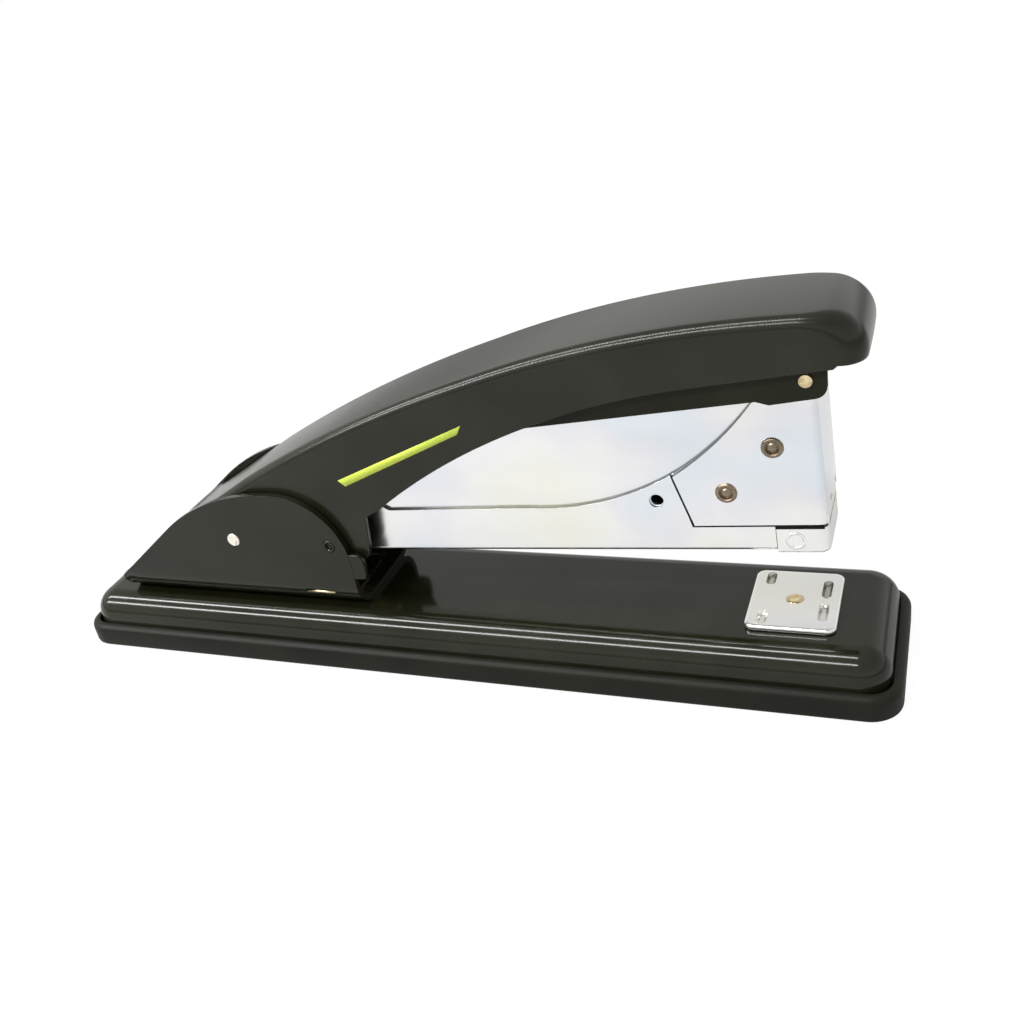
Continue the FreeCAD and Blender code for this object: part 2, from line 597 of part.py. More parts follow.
def make_rail_nose():
    """The rail's front end: a floor, two cheeks and the wall that the first staple leans on."""
    body = new_body("rail_nose", "magazine")
    back = f"({CASING_END} - nose_length)"
    front = f"({GATE_FRONT} + magazine_sheet)"
    low = "(-floor_drop - nose_drop)"
    box(body, "block", (back, front), both(CHANNEL_OUT), (low, "-casing_foot - 0.6"))
    end = size(front)
    fillet(body, "corners", "magazine_sheet + 0.4", lambda b: upright(b) and b.XMin > end - 1e-3)
    box(body, "wall", (GATE_FRONT, front), both(f"{CHANNEL_OUT} - 1.2"), (low, "rail_top + 0.9"))
    box(body, "inside", (f"{back} - 1", GATE_FRONT), both(CHANNEL_IN),
        (NOSE_FLOOR, "casing_top"), cut=True)
    box(body, "gate", (f"{GATE_BACK} - 0.2", GATE_FRONT), both(CHANNEL_IN),
        (f"{low} - 1", "casing_top"), cut=True)
    for name, span in (("near_boss", (f"-{CHANNEL_OUT} - 0.15", f"-{CHANNEL_OUT} + 0.1")),
                       ("far_boss", (f"{CHANNEL_OUT} - 0.1", f"{CHANNEL_OUT} + 0.15"))):
        rod(body, name, "y", (f"{back} + 3.2", "-4.1"), "1.6", span)


def make_guide_rod():
    """The rod inside the rail that the spring is threaded on."""
    body = new_body("guide_rod", "magazine")
    rod(body, "rod", "x", ("0", "-rod_drop"), "rod_radius",
        ("rail_start + rail_sheet", f"{GATE_BACK} - rail_sheet"))


def make_pusher_spring():
    """The long spring behind the pusher, as the sleeve that its coils fill."""
    body = new_body("pusher_spring", "magazine")
    span = ("rail_start + rail_sheet", f"{PUSHER_FRONT} - pusher_length - 0.05")
    rod(body, "coil", "x", ("0", "-rod_drop"), "coil_outer", span)
    rod(body, "inside", "x", ("0", "-rod_drop"), "coil_inner", span, cut=True)


def make_pusher():
    """The follower: a block on the guide rod, a neck through the track, a saddle outside."""
    body = new_body("pusher", "magazine")
    back = f"({PUSHER_FRONT} - pusher_length)"
    block = (back, f"{PUSHER_FRONT} - 0.9")
    box(body, "block", block, both(f"{RAIL_HALF} - rail_sheet - 0.2"),
        ("-rod_drop - 2.1", "rail_top - rail_sheet - 0.1"))
    box(body, "neck", (back, f"{PUSHER_FRONT} - 3.4"), both("1.1"),
        ("rail_top - 2", "rail_top + 0.3"))
    saddle = (back, PUSHER_FRONT)
    box(body, "saddle", saddle, both(f"{CHANNEL_IN} - 0.12"), ("rail_top + 0.1", "rail_top + 0.7"))
    outer = f"({CHANNEL_IN} - 0.12)"
    inner = f"({RAIL_HALF} + 0.1)"
    for name, y in (("near_leg", (f"-{outer}", f"-{inner}")), ("far_leg", (inner, outer))):
        box(body, name, saddle, y, (f"{RAIL_FOOT} + 0.7", "rail_top + 0.5"))
    rod(body, "bore", "x", ("0", "-rod_drop"), "rod_radius + 0.1", saddle, cut=True)


# ---------------------------------------------------------------- driver
def make_driver_blade():
    """The flat blade that pushes one staple out, with the window that the hanger enters."""
    body = new_body("driver_blade", "magazine")
    thick = (f"{REACH} - driver_sheet / 2", f"{REACH} + driver_sheet / 2")
    box(body, "blade", thick, both(f"{CROWN_HALF} - 0.1"), ("driver_lift", "driver_top"))
    box(body, "window", (f"{REACH} - 2", f"{REACH} + 2"), both("4.3"),
        ("hanger_level - 0.25", "hanger_level + hanger_sheet + 0.35"), cut=True)


# ---------------------------------------------------------------- handle
def over(x, rise):
    """A point over the magazine's tilted centre line, x ahead of the pivot."""
    return x, f"({x} * tan(magazine_tilt) + {rise})"


def along(share, rise):
    """The same, with x as a share of the reach from the pivot to the driver."""
    return over(f"({REACH} * {share})", rise)


def front(ahead, rise):
    """The same, with x counted from the driver."""
    return over(f"({REACH} + {ahead})", rise)


# The crown of the handle, seen from the side, from the back to the front.
REAR = along(-0.141, 1.66)
BACK = along(0.041, 12.92)
SHOULDER = along(0.251, 23.39)
MIDDLE = along(0.490, 31.97)
BRACKET_END = along(0.565, 34.13)
BEHIND_BROW = along(0.653, 36.12)
BROW = along(0.742, 37.56)
BEFORE_CREST = along(0.870, 38.64)
CREST = along(0.975, 38.67)


def lowered(spot, drop):
    """A point of the crown, moved down by a thickness."""
    return spot[0], f"{spot[1]} - {drop}"


def make_handle_shell():
    """The pressed handle: an arched channel, open below, closed at the front and at the back."""
    body = new_body("handle_shell", "handle")
    heel = f"({REACH} * -0.140)"
    pad(body, "block", (
        (heel, "-7.3", f"{heel} - 3.8", "-2.7"),
        ("stop_reach + 3", "-5.3"),
        ("stop_reach + 8.4", "-1.2", "stop_reach + 6.9", "-4.3"),
        ("stop_reach + 9.0", "5.6"),
        along(0.301, 5.75),
        (*along(0.815, 27.56), *along(0.537, 20.25)),
        front(3.9, 29.28),
        (*front(8.1, 32.44), *front(7.2, 30.18)),
        front(7.5, 34.98),
        (*CREST, *front(4.9, 37.32)),
        (*MIDDLE, *BROW),
        (*BACK, *SHOULDER),
        REAR,
    ), f"{HANDLE_OUT} * 2")
    slope = size(MIDDLE[1]) / size(MIDDLE[0]) * 0.6

    def on_crown(b):
        """Whether an edge is one of the long top ones: above a line between top and bottom."""
        between = min(slope * b.Center.x + 5, size(BROW[1]) - 3)
        return b.YLength < 1e-3 and b.XLength > 2 and b.Center.z > between
    fillet(body, "top_edges", "handle_edge", on_crown)
    wall = "handle_wall"
    pad(body, "hollow", (
        (f"{heel} + 2.6", "-7.0"),
        (f"{heel} + 2.6", "-20"),
        (f"{REACH} + 4.1", "-20"),
        front(6.5, 31.33),
        front(6.2, 34.45),
        (*lowered(CREST, wall), *front(3.9, 36.18)),
        (*lowered(MIDDLE, f"{wall} * 1.05"), *lowered(BROW, f"{wall} * 1.02")),
        (*lowered(BACK, f"{wall} * 1.15"), *lowered(SHOULDER, f"{wall} * 1.1")),
        (f"{REAR[0]} + 1.0", f"{REAR[1]} - {wall} * 0.6"),
    ), f"{HANDLE_IN} * 2", cut=True)
    rod(body, "pivot_hole", "y", ("0", "0"), "pivot_radius + pin_clear", both("base_width"),
        cut=True)
    swept = "(stop_reach * sin(11))"
    side = "(stop_radius + 0.3)"
    pad(body, "stop_slot", (
        (f"stop_reach - {side}", f"-stop_drop - {side}"),
        (f"stop_reach + {side}", f"-stop_drop - {side}"),
        (f"stop_reach + {side}", f"{swept} * 0.5"),
        (f"stop_reach + {side} - 0.4", f"{swept} - stop_drop + {side}"),
        (f"stop_reach - {side} - 0.4", f"{swept} - stop_drop + {side}"),
    ), "base_width", cut=True)


def make_handle_bracket():
    """The channel inside the handle's front half, open below, that carries the driver hanger."""
    body = new_body("handle_bracket", "handle")
    gap = "(handle_wall + bracket_gap)"
    below = f"({gap} + bracket_wall)"
    pad(body, "block", (
        along(0.565, 21.36),
        along(0.918, 24.16),
        along(0.936, 23.44),
        front(-0.4, 24.13),
        (*front(1.6, 26.31), *front(1.0, 24.75)),
        front(1.6, f"38.16 - {gap}"),
        lowered(CREST, gap),
        (*lowered(BROW, f"{gap} * 1.02"), *lowered(BEFORE_CREST, gap)),
        (*lowered(BRACKET_END, f"{gap} * 1.05"), *lowered(BEHIND_BROW, f"{gap} * 1.03")),
    ), f"{BRACKET_OUT} * 2")
    pad(body, "hollow", (
        (f"{BRACKET_END[0]} - 5", "10"),
        (f"{REACH} + 6.6", "10"),
        front(6.6, f"38.16 - {below}"),
        lowered(CREST, below),
        (*lowered(BROW, f"{below} * 1.02"), *lowered(BEFORE_CREST, below)),
        (*lowered(BRACKET_END, f"{below} * 1.05"), *lowered(BEHIND_BROW, f"{below} * 1.03")),
        (f"{BRACKET_END[0]} - 5", f"{BRACKET_END[1]} - 1.9 - {below} * 1.05"),
    ), f"{BRACKET_IN} * 2", cut=True)


def make_driver_hanger():
    """A strap across the bracket with a tongue through the driver's window."""
    body = new_body("driver_hanger", "magazine")
    level = ("hanger_level", "hanger_level + hanger_sheet")
    behind = f"({REACH} - driver_sheet / 2 - hanger_setback)"
    box(body, "web", (f"{behind} - 4.5", behind), both(BRACKET_IN), level)
    box(body, "tongue", (f"{behind} - 1", f"{REACH} + 2.6"), both("3.9"), level)
    for name, y in (("near_flange", (f"-{BRACKET_IN}", f"-{BRACKET_IN} + hanger_flange")),
                    ("far_flange", (f"{BRACKET_IN} - hanger_flange", BRACKET_IN))):
        box(body, name, (f"{behind} - 4.5", behind), y, ("25.6", "hanger_level + hanger_sheet"))
        box(body, name + "_ear", (f"{behind} - 1", f"{REACH} + 1.6"), y, ("25.6", "29.4"))
    rod(body, "stud_holes", "y", STUD, "stud_radius", both("base_width"), cut=True)


def make_hanger_studs():
    """Two brass studs that hold the hanger's flanges to the bracket."""
    body = new_body("hanger_studs", "magazine")
    inner = f"({BRACKET_IN} - hanger_flange)"
    for name, span in (("near", (f"-{BRACKET_OUT} - stud_rise", f"-{inner}")),
                       ("far", (inner, f"{BRACKET_OUT} + stud_rise"))):
        rod(body, name, "y", STUD, "stud_radius", span)


def stud_holes_in_bracket():
    """The bracket's holes for the studs, cut once both are in place."""
    body = next(piece for piece in pieces if piece.Label == "handle_bracket")
    u = f"({REACH} * cos(magazine_tilt) - 27.4 * sin(magazine_tilt))"
    w = f"({REACH} * sin(magazine_tilt) + 27.4 * cos(magazine_tilt))"
    rod(body, "stud_holes", "y", (u, w), "stud_radius", both("base_width"), cut=True)


def make_pivot_washers():
    """Two spacers between the channel's sides and the handle's."""
    body = new_body("pivot_washers", "handle")
    inner = f"({CHANNEL_OUT} + 0.1)"
    for name, span in (("near", (f"-{HANDLE_IN}", f"-{inner}")), ("far", (inner, HANDLE_IN))):
        rod(body, name, "y", ("0", "0"), "washer_radius", span)
        rod(body, name + "_bore", "y", ("0", "0"), "pivot_radius + pin_clear", span, cut=True)


make_base_sole()
make_base_shell()
make_rear_bracket()
make_bracket_rivets()
make_pins()
make_lift_spring()
make_anvil()
make_magazine_channel()
make_upper_frame()
make_front_casing()
make_casing_rivets()
make_pivot_bush()
make_return_spring()
make_staple_rail()
make_rail_nose()
make_guide_rod()
make_pusher_spring()
make_pusher()
make_driver_blade()
make_handle_shell()
make_handle_bracket()
make_driver_hanger()
make_hanger_studs()
stud_holes_in_bracket()
make_pivot_washers()
doc.recompute()

# ---------------------------------------------------------------- check and export
faults = [item.Name for item in doc.Objects if set(item.State) & {"Invalid", "Error"}]
faults += [piece.Label for piece in pieces if piece.Shape.isNull() or not piece.Shape.isValid()]
if faults:
    raise RuntimeError("failed: " + ", ".join(faults))
os.makedirs("parts", exist_ok=True)
for piece in pieces:
    piece.Shape.exportStep(f"parts/{piece.Label}.step")
    solids = len(piece.Shape.Solids)
    print(f"{piece.Label}: {solids} solid(s), {piece.Shape.Volume:.1f} mm3")
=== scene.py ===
"""The looks of the desk stapler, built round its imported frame.

Lengths are in millimetres until a frame function (world, handle, magazine) turns them into
metres. Handle and magazine points are counted from the pivot pin.
"""
import json
import math

import bmesh
import bpy
from mathutils import Matrix, Vector

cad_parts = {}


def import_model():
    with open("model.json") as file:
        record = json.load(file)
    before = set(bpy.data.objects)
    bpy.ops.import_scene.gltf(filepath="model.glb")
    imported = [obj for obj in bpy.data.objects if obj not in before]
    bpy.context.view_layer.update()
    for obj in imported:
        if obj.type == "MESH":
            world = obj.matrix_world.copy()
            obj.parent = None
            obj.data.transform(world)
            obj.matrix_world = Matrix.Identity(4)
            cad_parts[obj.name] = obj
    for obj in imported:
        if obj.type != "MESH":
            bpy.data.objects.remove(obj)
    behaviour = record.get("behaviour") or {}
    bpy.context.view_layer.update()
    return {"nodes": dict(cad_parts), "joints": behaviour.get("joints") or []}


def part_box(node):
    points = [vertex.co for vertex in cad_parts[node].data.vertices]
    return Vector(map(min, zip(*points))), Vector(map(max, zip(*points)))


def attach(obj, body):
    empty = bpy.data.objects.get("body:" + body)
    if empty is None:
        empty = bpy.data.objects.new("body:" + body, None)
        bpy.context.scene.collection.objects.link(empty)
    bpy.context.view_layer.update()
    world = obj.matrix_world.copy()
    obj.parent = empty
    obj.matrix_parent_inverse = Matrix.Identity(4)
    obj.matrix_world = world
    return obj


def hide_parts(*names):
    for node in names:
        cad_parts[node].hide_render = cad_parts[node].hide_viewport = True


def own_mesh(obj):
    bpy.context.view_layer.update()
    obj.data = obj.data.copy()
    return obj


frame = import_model()
scene = bpy.context.scene
scene.view_settings.view_transform = "Standard"

MM = 0.001
pin_low, pin_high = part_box("pivot_pin")
PIVOT_X = (pin_low.x + pin_high.x) / 2 / MM
PIVOT_Z = (pin_low.z + pin_high.z) / 2 / MM
slide_axis = next(j for j in frame["joints"] if j["name"] == "rail_slide")["axis"]
TILT = math.atan2(slide_axis[2], slide_axis[0])
shell_low, shell_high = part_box("base_shell")
SHELL_TOP = shell_high.z / MM

REACH = 119.7           # driver blade, ahead of the pivot along the magazine
GATE_FRONT = REACH + 0.45
CASING_END = GATE_FRONT + 0.8
CHANNEL_OUT = 7.3
CASING_OUT = 8.0
HANDLE_OUT = 11.2
EAR_OUT = 13.0
CHANNEL_LOW = -6.36     # underside of the magazine's channel
SOLE_LONG, SOLE_WIDE, SOLE_RIM = 90, 18.65, 2
ANVIL_X = 70            # the anvil's rivet, from the middle of the sole
STOP_X, STOP_Z = -20.4, 27.4
SIGHT_U, SIGHT_W = REACH - 28.3, 4.4
RETURN_U = REACH - 34.7
RIVETS = (("upper", REACH - 6.7, 14.7), ("lower", REACH - 15.4, 6.2))


# ---------------------------------------------------------------- frames and curves
def world(x, y, z):
    """A point of the row frame, in metres."""
    return Vector((x, y, z)) * MM


def handle(u, y, w):
    """A point of the handle, u ahead of the pivot and w above it."""
    return world(PIVOT_X + u, y, PIVOT_Z + w)


def magazine(u, y, w):
    """A point of the magazine, whose front end is tilted up."""
    c, s = math.cos(TILT), math.sin(TILT)
    return world(PIVOT_X + u * c - w * s, y, PIVOT_Z + u * s + w * c)


def anvil(x, y, z):
    """A point over the base shell's top, from the anvil's pivot."""
    return world(ANVIL_X + x, y, SHELL_TOP + z)


def arc(a, b, c, count):
    """Points on the circle from a through b to c, without a."""
    (ax, ay), (bx, by), (cx, cy) = a, b, c
    d = 2 * (ax * (by - cy) + bx * (cy - ay) + cx * (ay - by))
    ox = ((ax**2 + ay**2) * (by - cy) + (bx**2 + by**2) * (cy - ay) + (cx**2 + cy**2) * (ay - by)) / d
    oy = ((ax**2 + ay**2) * (cx - bx) + (bx**2 + by**2) * (ax - cx) + (cx**2 + cy**2) * (bx - ax)) / d
    radius = math.hypot(ax - ox, ay - oy)
    start = math.atan2(ay - oy, ax - ox)
    mid = (math.atan2(by - oy, bx - ox) - start) % math.tau
    end = (math.atan2(cy - oy, cx - ox) - start) % math.tau
    if mid > end:
        end -= math.tau
    return [(ox + radius * math.cos(start + end * k / count),
             oy + radius * math.sin(start + end * k / count)) for k in range(1, count + 1)]


def line(a, b, count):
    """Points from a to b, without a."""
    return [(a[0] + (b[0] - a[0]) * k / count, a[1] + (b[1] - a[1]) * k / count)
            for k in range(1, count + 1)]


def path(start, *steps):
    """A chain of lines (point, count) and arcs (through, point, count)."""
    points = [start]
    for step in steps:
        if len(step) == 2:
            points += line(points[-1], *step)
        else:
            points += arc(points[-1], *step)
    return points


def rounded(half_x, half_y, radius, steps=10):
    """A rectangle with round corners, anticlockwise."""
    points = []
    for k, (sx, sy) in enumerate(((1, 1), (-1, 1), (-1, -1), (1, -1))):
        for i in range(steps + 1):
            a = math.radians(90 * k + 90 * i / steps)
            points.append((sx * (half_x - radius) + radius * math.cos(a),
                           sy * (half_y - radius) + radius * math.sin(a)))
    return points


# ---------------------------------------------------------------- meshes
def new_piece(name, vertices, faces):
    """An object from points and faces, smooth, with its faces turned outwards."""
    data = bpy.data.meshes.new(name)
    data.from_pydata([tuple(v) for v in vertices], [], faces)
    data.update()
    piece = bpy.data.objects.new(name, data)
    scene.collection.objects.link(piece)
    for face in data.polygons:
        face.use_smooth = True
    return piece


def outwards(piece):
    """Turns a surface's faces away from its middle."""
    data = piece.data
    middle = sum((v.co for v in data.vertices), Vector()) / len(data.vertices)
    facing = sum((f.center - middle).dot(f.normal) * f.area for f in data.polygons)
    if facing < 0:
        data.flip_normals()


def grid(name, rows):
    """A surface through rows of points, all of the same count."""
    wide = len(rows[0])
    vertices = [p for row in rows for p in row]
    faces = []
    for i in range(len(rows) - 1):
        for j in range(wide - 1):
            k = j + 1
            faces.append((i * wide + j, i * wide + k, (i + 1) * wide + k, (i + 1) * wide + j))
    piece = new_piece(name, vertices, faces)
    outwards(piece)
    return piece


def stack(name, rings):
    """A closed body through rings of points, capped at both ends."""
    wide = len(rings[0])
    vertices = [p for ring in rings for p in ring]
    faces = [tuple(range(wide)), tuple(range((len(rings) - 1) * wide, len(rings) * wide))]
    for i in range(len(rings) - 1):
        for j in range(wide):
            k = (j + 1) % wide
            faces.append((i * wide + j, i * wide + k, (i + 1) * wide + k, (i + 1) * wide + j))
    piece = new_piece(name, vertices, faces)
    tidy_normals(piece)
    return piece


def tidy_normals(piece):
    """Makes the faces of a closed body agree, and all look out."""
    mesh = bmesh.new()
    mesh.from_mesh(piece.data)
    bmesh.ops.remove_doubles(mesh, verts=mesh.verts, dist=1e-7)
    bmesh.ops.recalc_face_normals(mesh, faces=mesh.faces)
    mesh.to_mesh(piece.data)
    mesh.free()


def slab(name, outline, low, high, to):
    """A flat plate: an outline in two coordinates, thickened along y, in a frame."""
    count = len(outline)
    vertices = [to(p[0], y, p[1]) for y in (low, high) for p in outline]
    faces = [tuple(range(count)), tuple(range(count, 2 * count))]
    for j in range(count):
        k = (j + 1) % count
        faces.append((j, k, count + k, count + j))
    piece = new_piece(name, vertices, faces)
    tidy_normals(piece)
    return piece


def turned(name, profile, to, steps=40):
    """A body turned about an axis: profile of (radius, distance), to(distance, a, b) a frame."""
    rings = []
    for radius, distance in profile:
        rings.append([to(distance, radius * math.cos(math.tau * k / steps),
                         radius * math.sin(math.tau * k / steps)) for k in range(steps)])
    return stack(name, rings)


def block(name, low, high, to):
    """A box between two corners, in a frame."""
    outline = [(low[0], low[2]), (high[0], low[2]), (high[0], high[2]), (low[0], high[2])]
    return slab(name, outline, low[1], high[1], to)


def settle(piece):
    """Applies a piece's modifiers."""
    bpy.context.view_layer.update()
    done = bpy.data.meshes.new_from_object(piece.evaluated_get(bpy.context.evaluated_depsgraph_get()))
    piece.modifiers.clear()
    piece.data = done


def thicken(piece, sheet, even=True, edge=None, face=None):
    """Gives a surface its sheet's thickness, inwards; edge is the dark finish of its cut edges, their sheared
    colour together with a painted shade along them.
    """
    solid = piece.modifiers.new("sheet", "SOLIDIFY")
    solid.thickness = sheet * MM
    solid.offset = -1
    solid.use_even_offset = even
    if edge is not None:
        piece.data.materials.append(face)
        piece.data.materials.append(edge)
        solid.material_offset_rim = 1
    settle(piece)


def cut(piece, *cutters):
    """Takes the cutters out of a piece."""
    for cutter in cutters:
        taken = piece.modifiers.new("cut", "BOOLEAN")
        taken.operation = "DIFFERENCE"
        taken.solver = "EXACT"
        taken.object = cutter
        settle(piece)
        bpy.data.objects.remove(cutter)


def join(piece, *others):
    """Makes one piece of several."""
    mesh = bmesh.new()
    for one in (piece, *others):
        mesh.from_mesh(one.data)
    mesh.to_mesh(piece.data)
    mesh.free()
    for one in others:
        bpy.data.objects.remove(one)
    return piece


def soften(piece, width, segments=3, angle=32):
    """Rounds a piece's sharp edges and shades it smoothly."""
    rim = piece.modifiers.new("rim", "BEVEL")
    rim.width = width * MM
    rim.segments = segments
    rim.limit_method = "ANGLE"
    rim.angle_limit = math.radians(angle)
    rim.miter_outer = "MITER_ARC"
    settle(piece)
    for face in piece.data.polygons:
        face.use_smooth = True
    piece.data.set_sharp_from_angle(angle=math.radians(50))
    even = piece.modifiers.new("even", "WEIGHTED_NORMAL")
    even.keep_sharp = True


def across(name, u, w, radius, to, steps=32):
    """A cutter: a cylinder right across a piece."""
    return turned(name, [(radius, -25), (radius, 25)], lambda d, a, b: to(u + a, d, w + b), steps)


# ---------------------------------------------------------------- materials
def shader(name, colour, metallic, roughness, **more):
    """A material with its principled shader."""
    material = bpy.data.materials.new(name)
    material.use_nodes = True
    tree = material.node_tree
    surface = tree.nodes["Principled BSDF"]
    surface.inputs["Base Color"].default_value = (*colour, 1)
    surface.inputs["Metallic"].default_value = metallic
    surface.inputs["Roughness"].default_value = roughness
    for key, value in more.items():
        surface.inputs[key.replace("_", " ")].default_value = value
    return material, tree, surface


def place(tree, scale=(1, 1, 1)):
    """The object's own coordinates in millimetres, stretched."""
    where = tree.nodes.new("ShaderNodeTexCoord")
    mapping = tree.nodes.new("ShaderNodeMapping")
    mapping.inputs["Scale"].default_value = [1000 * s for s in scale]
    tree.links.new(where.outputs["Object"], mapping.inputs["Vector"])
    return mapping.outputs["Vector"]


def noise(tree, vector, scale, detail=3.0, rough=0.55):
    """A noise texture; scale is in cycles per millimetre."""
    texture = tree.nodes.new("ShaderNodeTexNoise")
    texture.inputs["Scale"].default_value = scale
    texture.inputs["Detail"].default_value = detail
    texture.inputs["Roughness"].default_value = rough
    tree.links.new(vector, texture.inputs["Vector"])
    return texture.outputs["Fac"]


def ramp(tree, factor, stops):
    """A colour ramp over a factor."""
    node = tree.nodes.new("ShaderNodeValToRGB")
    while len(node.color_ramp.elements) < len(stops):
        node.color_ramp.elements.new(0.5)
    for element, (position, colour) in zip(node.color_ramp.elements, stops):
        element.position = position
        element.color = (*colour, 1) if len(colour) == 3 else colour
    tree.links.new(factor, node.inputs["Fac"])
    return node.outputs["Color"]


def spread(tree, factor, low, high):
    """A factor brought from 0..1 to low..high."""
    node = tree.nodes.new("ShaderNodeMapRange")
    node.inputs["From Min"].default_value = 0.3
    node.inputs["From Max"].default_value = 0.7
    node.inputs["To Min"].default_value = low
    node.inputs["To Max"].default_value = high
    tree.links.new(factor, node.inputs["Value"])
    return node.outputs["Result"]


def bump(tree, surface, heights):
    """Adds bumps from pairs of a height factor and a depth in millimetres."""
    last = None
    for factor, depth in heights:
        node = tree.nodes.new("ShaderNodeBump")
        node.inputs["Strength"].default_value = 1.0
        node.inputs["Distance"].default_value = depth * MM
        tree.links.new(factor, node.inputs["Height"])
        if last is not None:
            tree.links.new(last, node.inputs["Normal"])
        last = node.outputs["Normal"]
    tree.links.new(last, surface.inputs["Normal"])


def black_enamel(name, low, high, shine=0.34):
    """Stoved enamel: deep black, a soft orange peel and faint handling marks."""
    material, tree, surface = shader(name, (0.010, 0.0105, 0.0045), 0, 0.12, IOR=1.5,
                                      Specular_IOR_Level=shine)
    at = place(tree)
    peel = noise(tree, at, 0.35, 2)
    haze = noise(tree, at, 0.06, 4)
    tree.links.new(ramp(tree, haze, ((0.35, (0.007, 0.0073, 0.003)), (0.7, (0.013, 0.0135, 0.007)))),
                   surface.inputs["Base Color"])
    tree.links.new(spread(tree, haze, low, high), surface.inputs["Roughness"])
    bump(tree, surface, ((peel, 0.0016),))
    return material


def black_rubber():
    """The moulded sole: satin black with a fine spark-eroded grain."""
    material, tree, surface = shader("sole_moulded_black", (0.012, 0.012, 0.010), 0, 0.42, IOR=1.48,
                                      Specular_IOR_Level=0.15)
    at = place(tree)
    grain = noise(tree, at, 5.0, 3)
    cloud = noise(tree, at, 0.05, 3)
    tree.links.new(ramp(tree, cloud, ((0.3, (0.007, 0.007, 0.005)), (0.75, (0.013, 0.013, 0.009)))),
                   surface.inputs["Base Color"])
    tree.links.new(spread(tree, cloud, 0.36, 0.46), surface.inputs["Roughness"])
    bump(tree, surface, ((grain, 0.006),))
    return material


def plated(name, dark, bright, low, high, wave=0.02, stretch=(0.3, 1, 1.6)):
    """Bright nickel-chrome plate over rolled sheet: cloudy tints and fine rolling marks."""
    material, tree, surface = shader(name, bright, 1.0, 0.15)
    at = place(tree, stretch)
    cloud = noise(tree, at, 0.045, 3)
    tint = noise(tree, place(tree), 0.03, 2)
    rolled = noise(tree, place(tree, (0.12, 1, 3.5)), 1.6, 3)
    mix = tree.nodes.new("ShaderNodeMix")
    mix.data_type = "RGBA"
    mix.blend_type = "MULTIPLY"
    mix.inputs["Factor"].default_value = 1.0
    tree.links.new(ramp(tree, cloud, ((0.3, dark), (0.6, bright))), mix.inputs[6])
    tree.links.new(ramp(tree, tint, ((0.38, (0.88, 0.93, 1.0)), (0.44, (0.95, 0.94, 1.0)), (0.5, (1, 1, 1)),
                                     (0.62, (1.0, 0.985, 0.92)))),
                   mix.inputs[7])
    tree.links.new(mix.outputs[2], surface.inputs["Base Color"])
    tree.links.new(spread(tree, cloud, low, high), surface.inputs["Roughness"])
    bump(tree, surface, ((cloud, wave), (rolled, 0.0010)))
    return material


def brass():
    """Lacquered brass with a darker bloom."""
    material, tree, surface = shader("brass_lacquered", (0.80, 0.62, 0.34), 1.0, 0.22)
    cloud = noise(tree, place(tree), 0.9, 4)
    tree.links.new(ramp(tree, cloud, ((0.3, (0.50, 0.38, 0.22)), (0.62, (0.88, 0.72, 0.44)))),
                   surface.inputs["Base Color"])
    tree.links.new(spread(tree, cloud, 0.16, 0.32), surface.inputs["Roughness"])
    bump(tree, surface, ((noise(tree, place(tree), 4, 3), 0.004),))
    return material


def lime_paint():
    """Screen-printed lime ink with a slightly grainy coat."""
    material, tree, surface = shader("lime_ink", (0.62, 0.74, 0.08), 0, 0.38, IOR=1.5)
    grain = noise(tree, place(tree), 3.0, 3)
    tree.links.new(ramp(tree, grain, ((0.3, (0.56, 0.68, 0.07)), (0.7, (0.70, 0.82, 0.12)))),
                   surface.inputs["Base Color"])
    bump(tree, surface, ((grain, 0.004),))
    return material


ENAMEL = black_enamel("black_enamel_gloss", 0.09, 0.15)
SATIN = black_enamel("black_enamel_handle", 0.19, 0.25)
RUBBER = black_rubber()
CHROME = plated("chrome_bright", (0.83, 0.835, 0.845), (0.94, 0.94, 0.935), 0.14, 0.26)
PLAIN = plated("zinc_plain", (0.50, 0.50, 0.50), (0.68, 0.67, 0.65), 0.22, 0.36, 0.01)
SPRING = plated("spring_blued", (0.36, 0.36, 0.37), (0.60, 0.59, 0.57), 0.16, 0.28, 0.004)
BRASS = brass()
# dark rim finish: partly the sheared steel's own colour, partly painted shade along the sheet edges
SHEARED_EDGE_AND_SHADE = plated("sheared_edge_and_painted_shade", (0.085, 0.085, 0.07), (0.20, 0.20, 0.17), 0.35, 0.5, 0.004)
# painted shade: a darker copy of the chrome for the anvil's pocket walls
POCKET_PAINTED_SHADE = plated("anvil_pocket_painted_shade", (0.16, 0.15, 0.14), (0.85, 0.83, 0.80), 0.12, 0.24, 0.03)
DULL = black_enamel("black_enamel_inside", 0.3, 0.38, 0.16)
# painted shadow: a near-black finish for the strips laid where the casing's gap shades the channel
PAINTED_GAP_SHADOW = plated("gap_shadowed", (0.012, 0.012, 0.012), (0.03, 0.03, 0.028), 0.5, 0.7, 0.004)
LIME = lime_paint()
PIN_END = plated("pin_end_bright", (0.80, 0.74, 0.62), (0.95, 0.91, 0.82), 0.25, 0.4, 0.004)
PEWTER = plated("rivet_pewter", (0.10, 0.075, 0.05), (0.36, 0.28, 0.19), 0.2, 0.34, 0.004)
SLOTS = {"sole_rubber": RUBBER, "black_enamel": ENAMEL, "bright_chrome": CHROME,
         "plain_steel": PLAIN, "spring_steel": SPRING, "rivet_brass": BRASS}


def dress(piece, slot, body, *nodes, material=None):
    """Gives a piece its finish, its body and the CAD nodes that it stands for."""
    if not piece.data.materials:
        piece.data.materials.append(material or SLOTS[slot])
    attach(piece, body)
    if nodes:
        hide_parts(*nodes)
    return piece


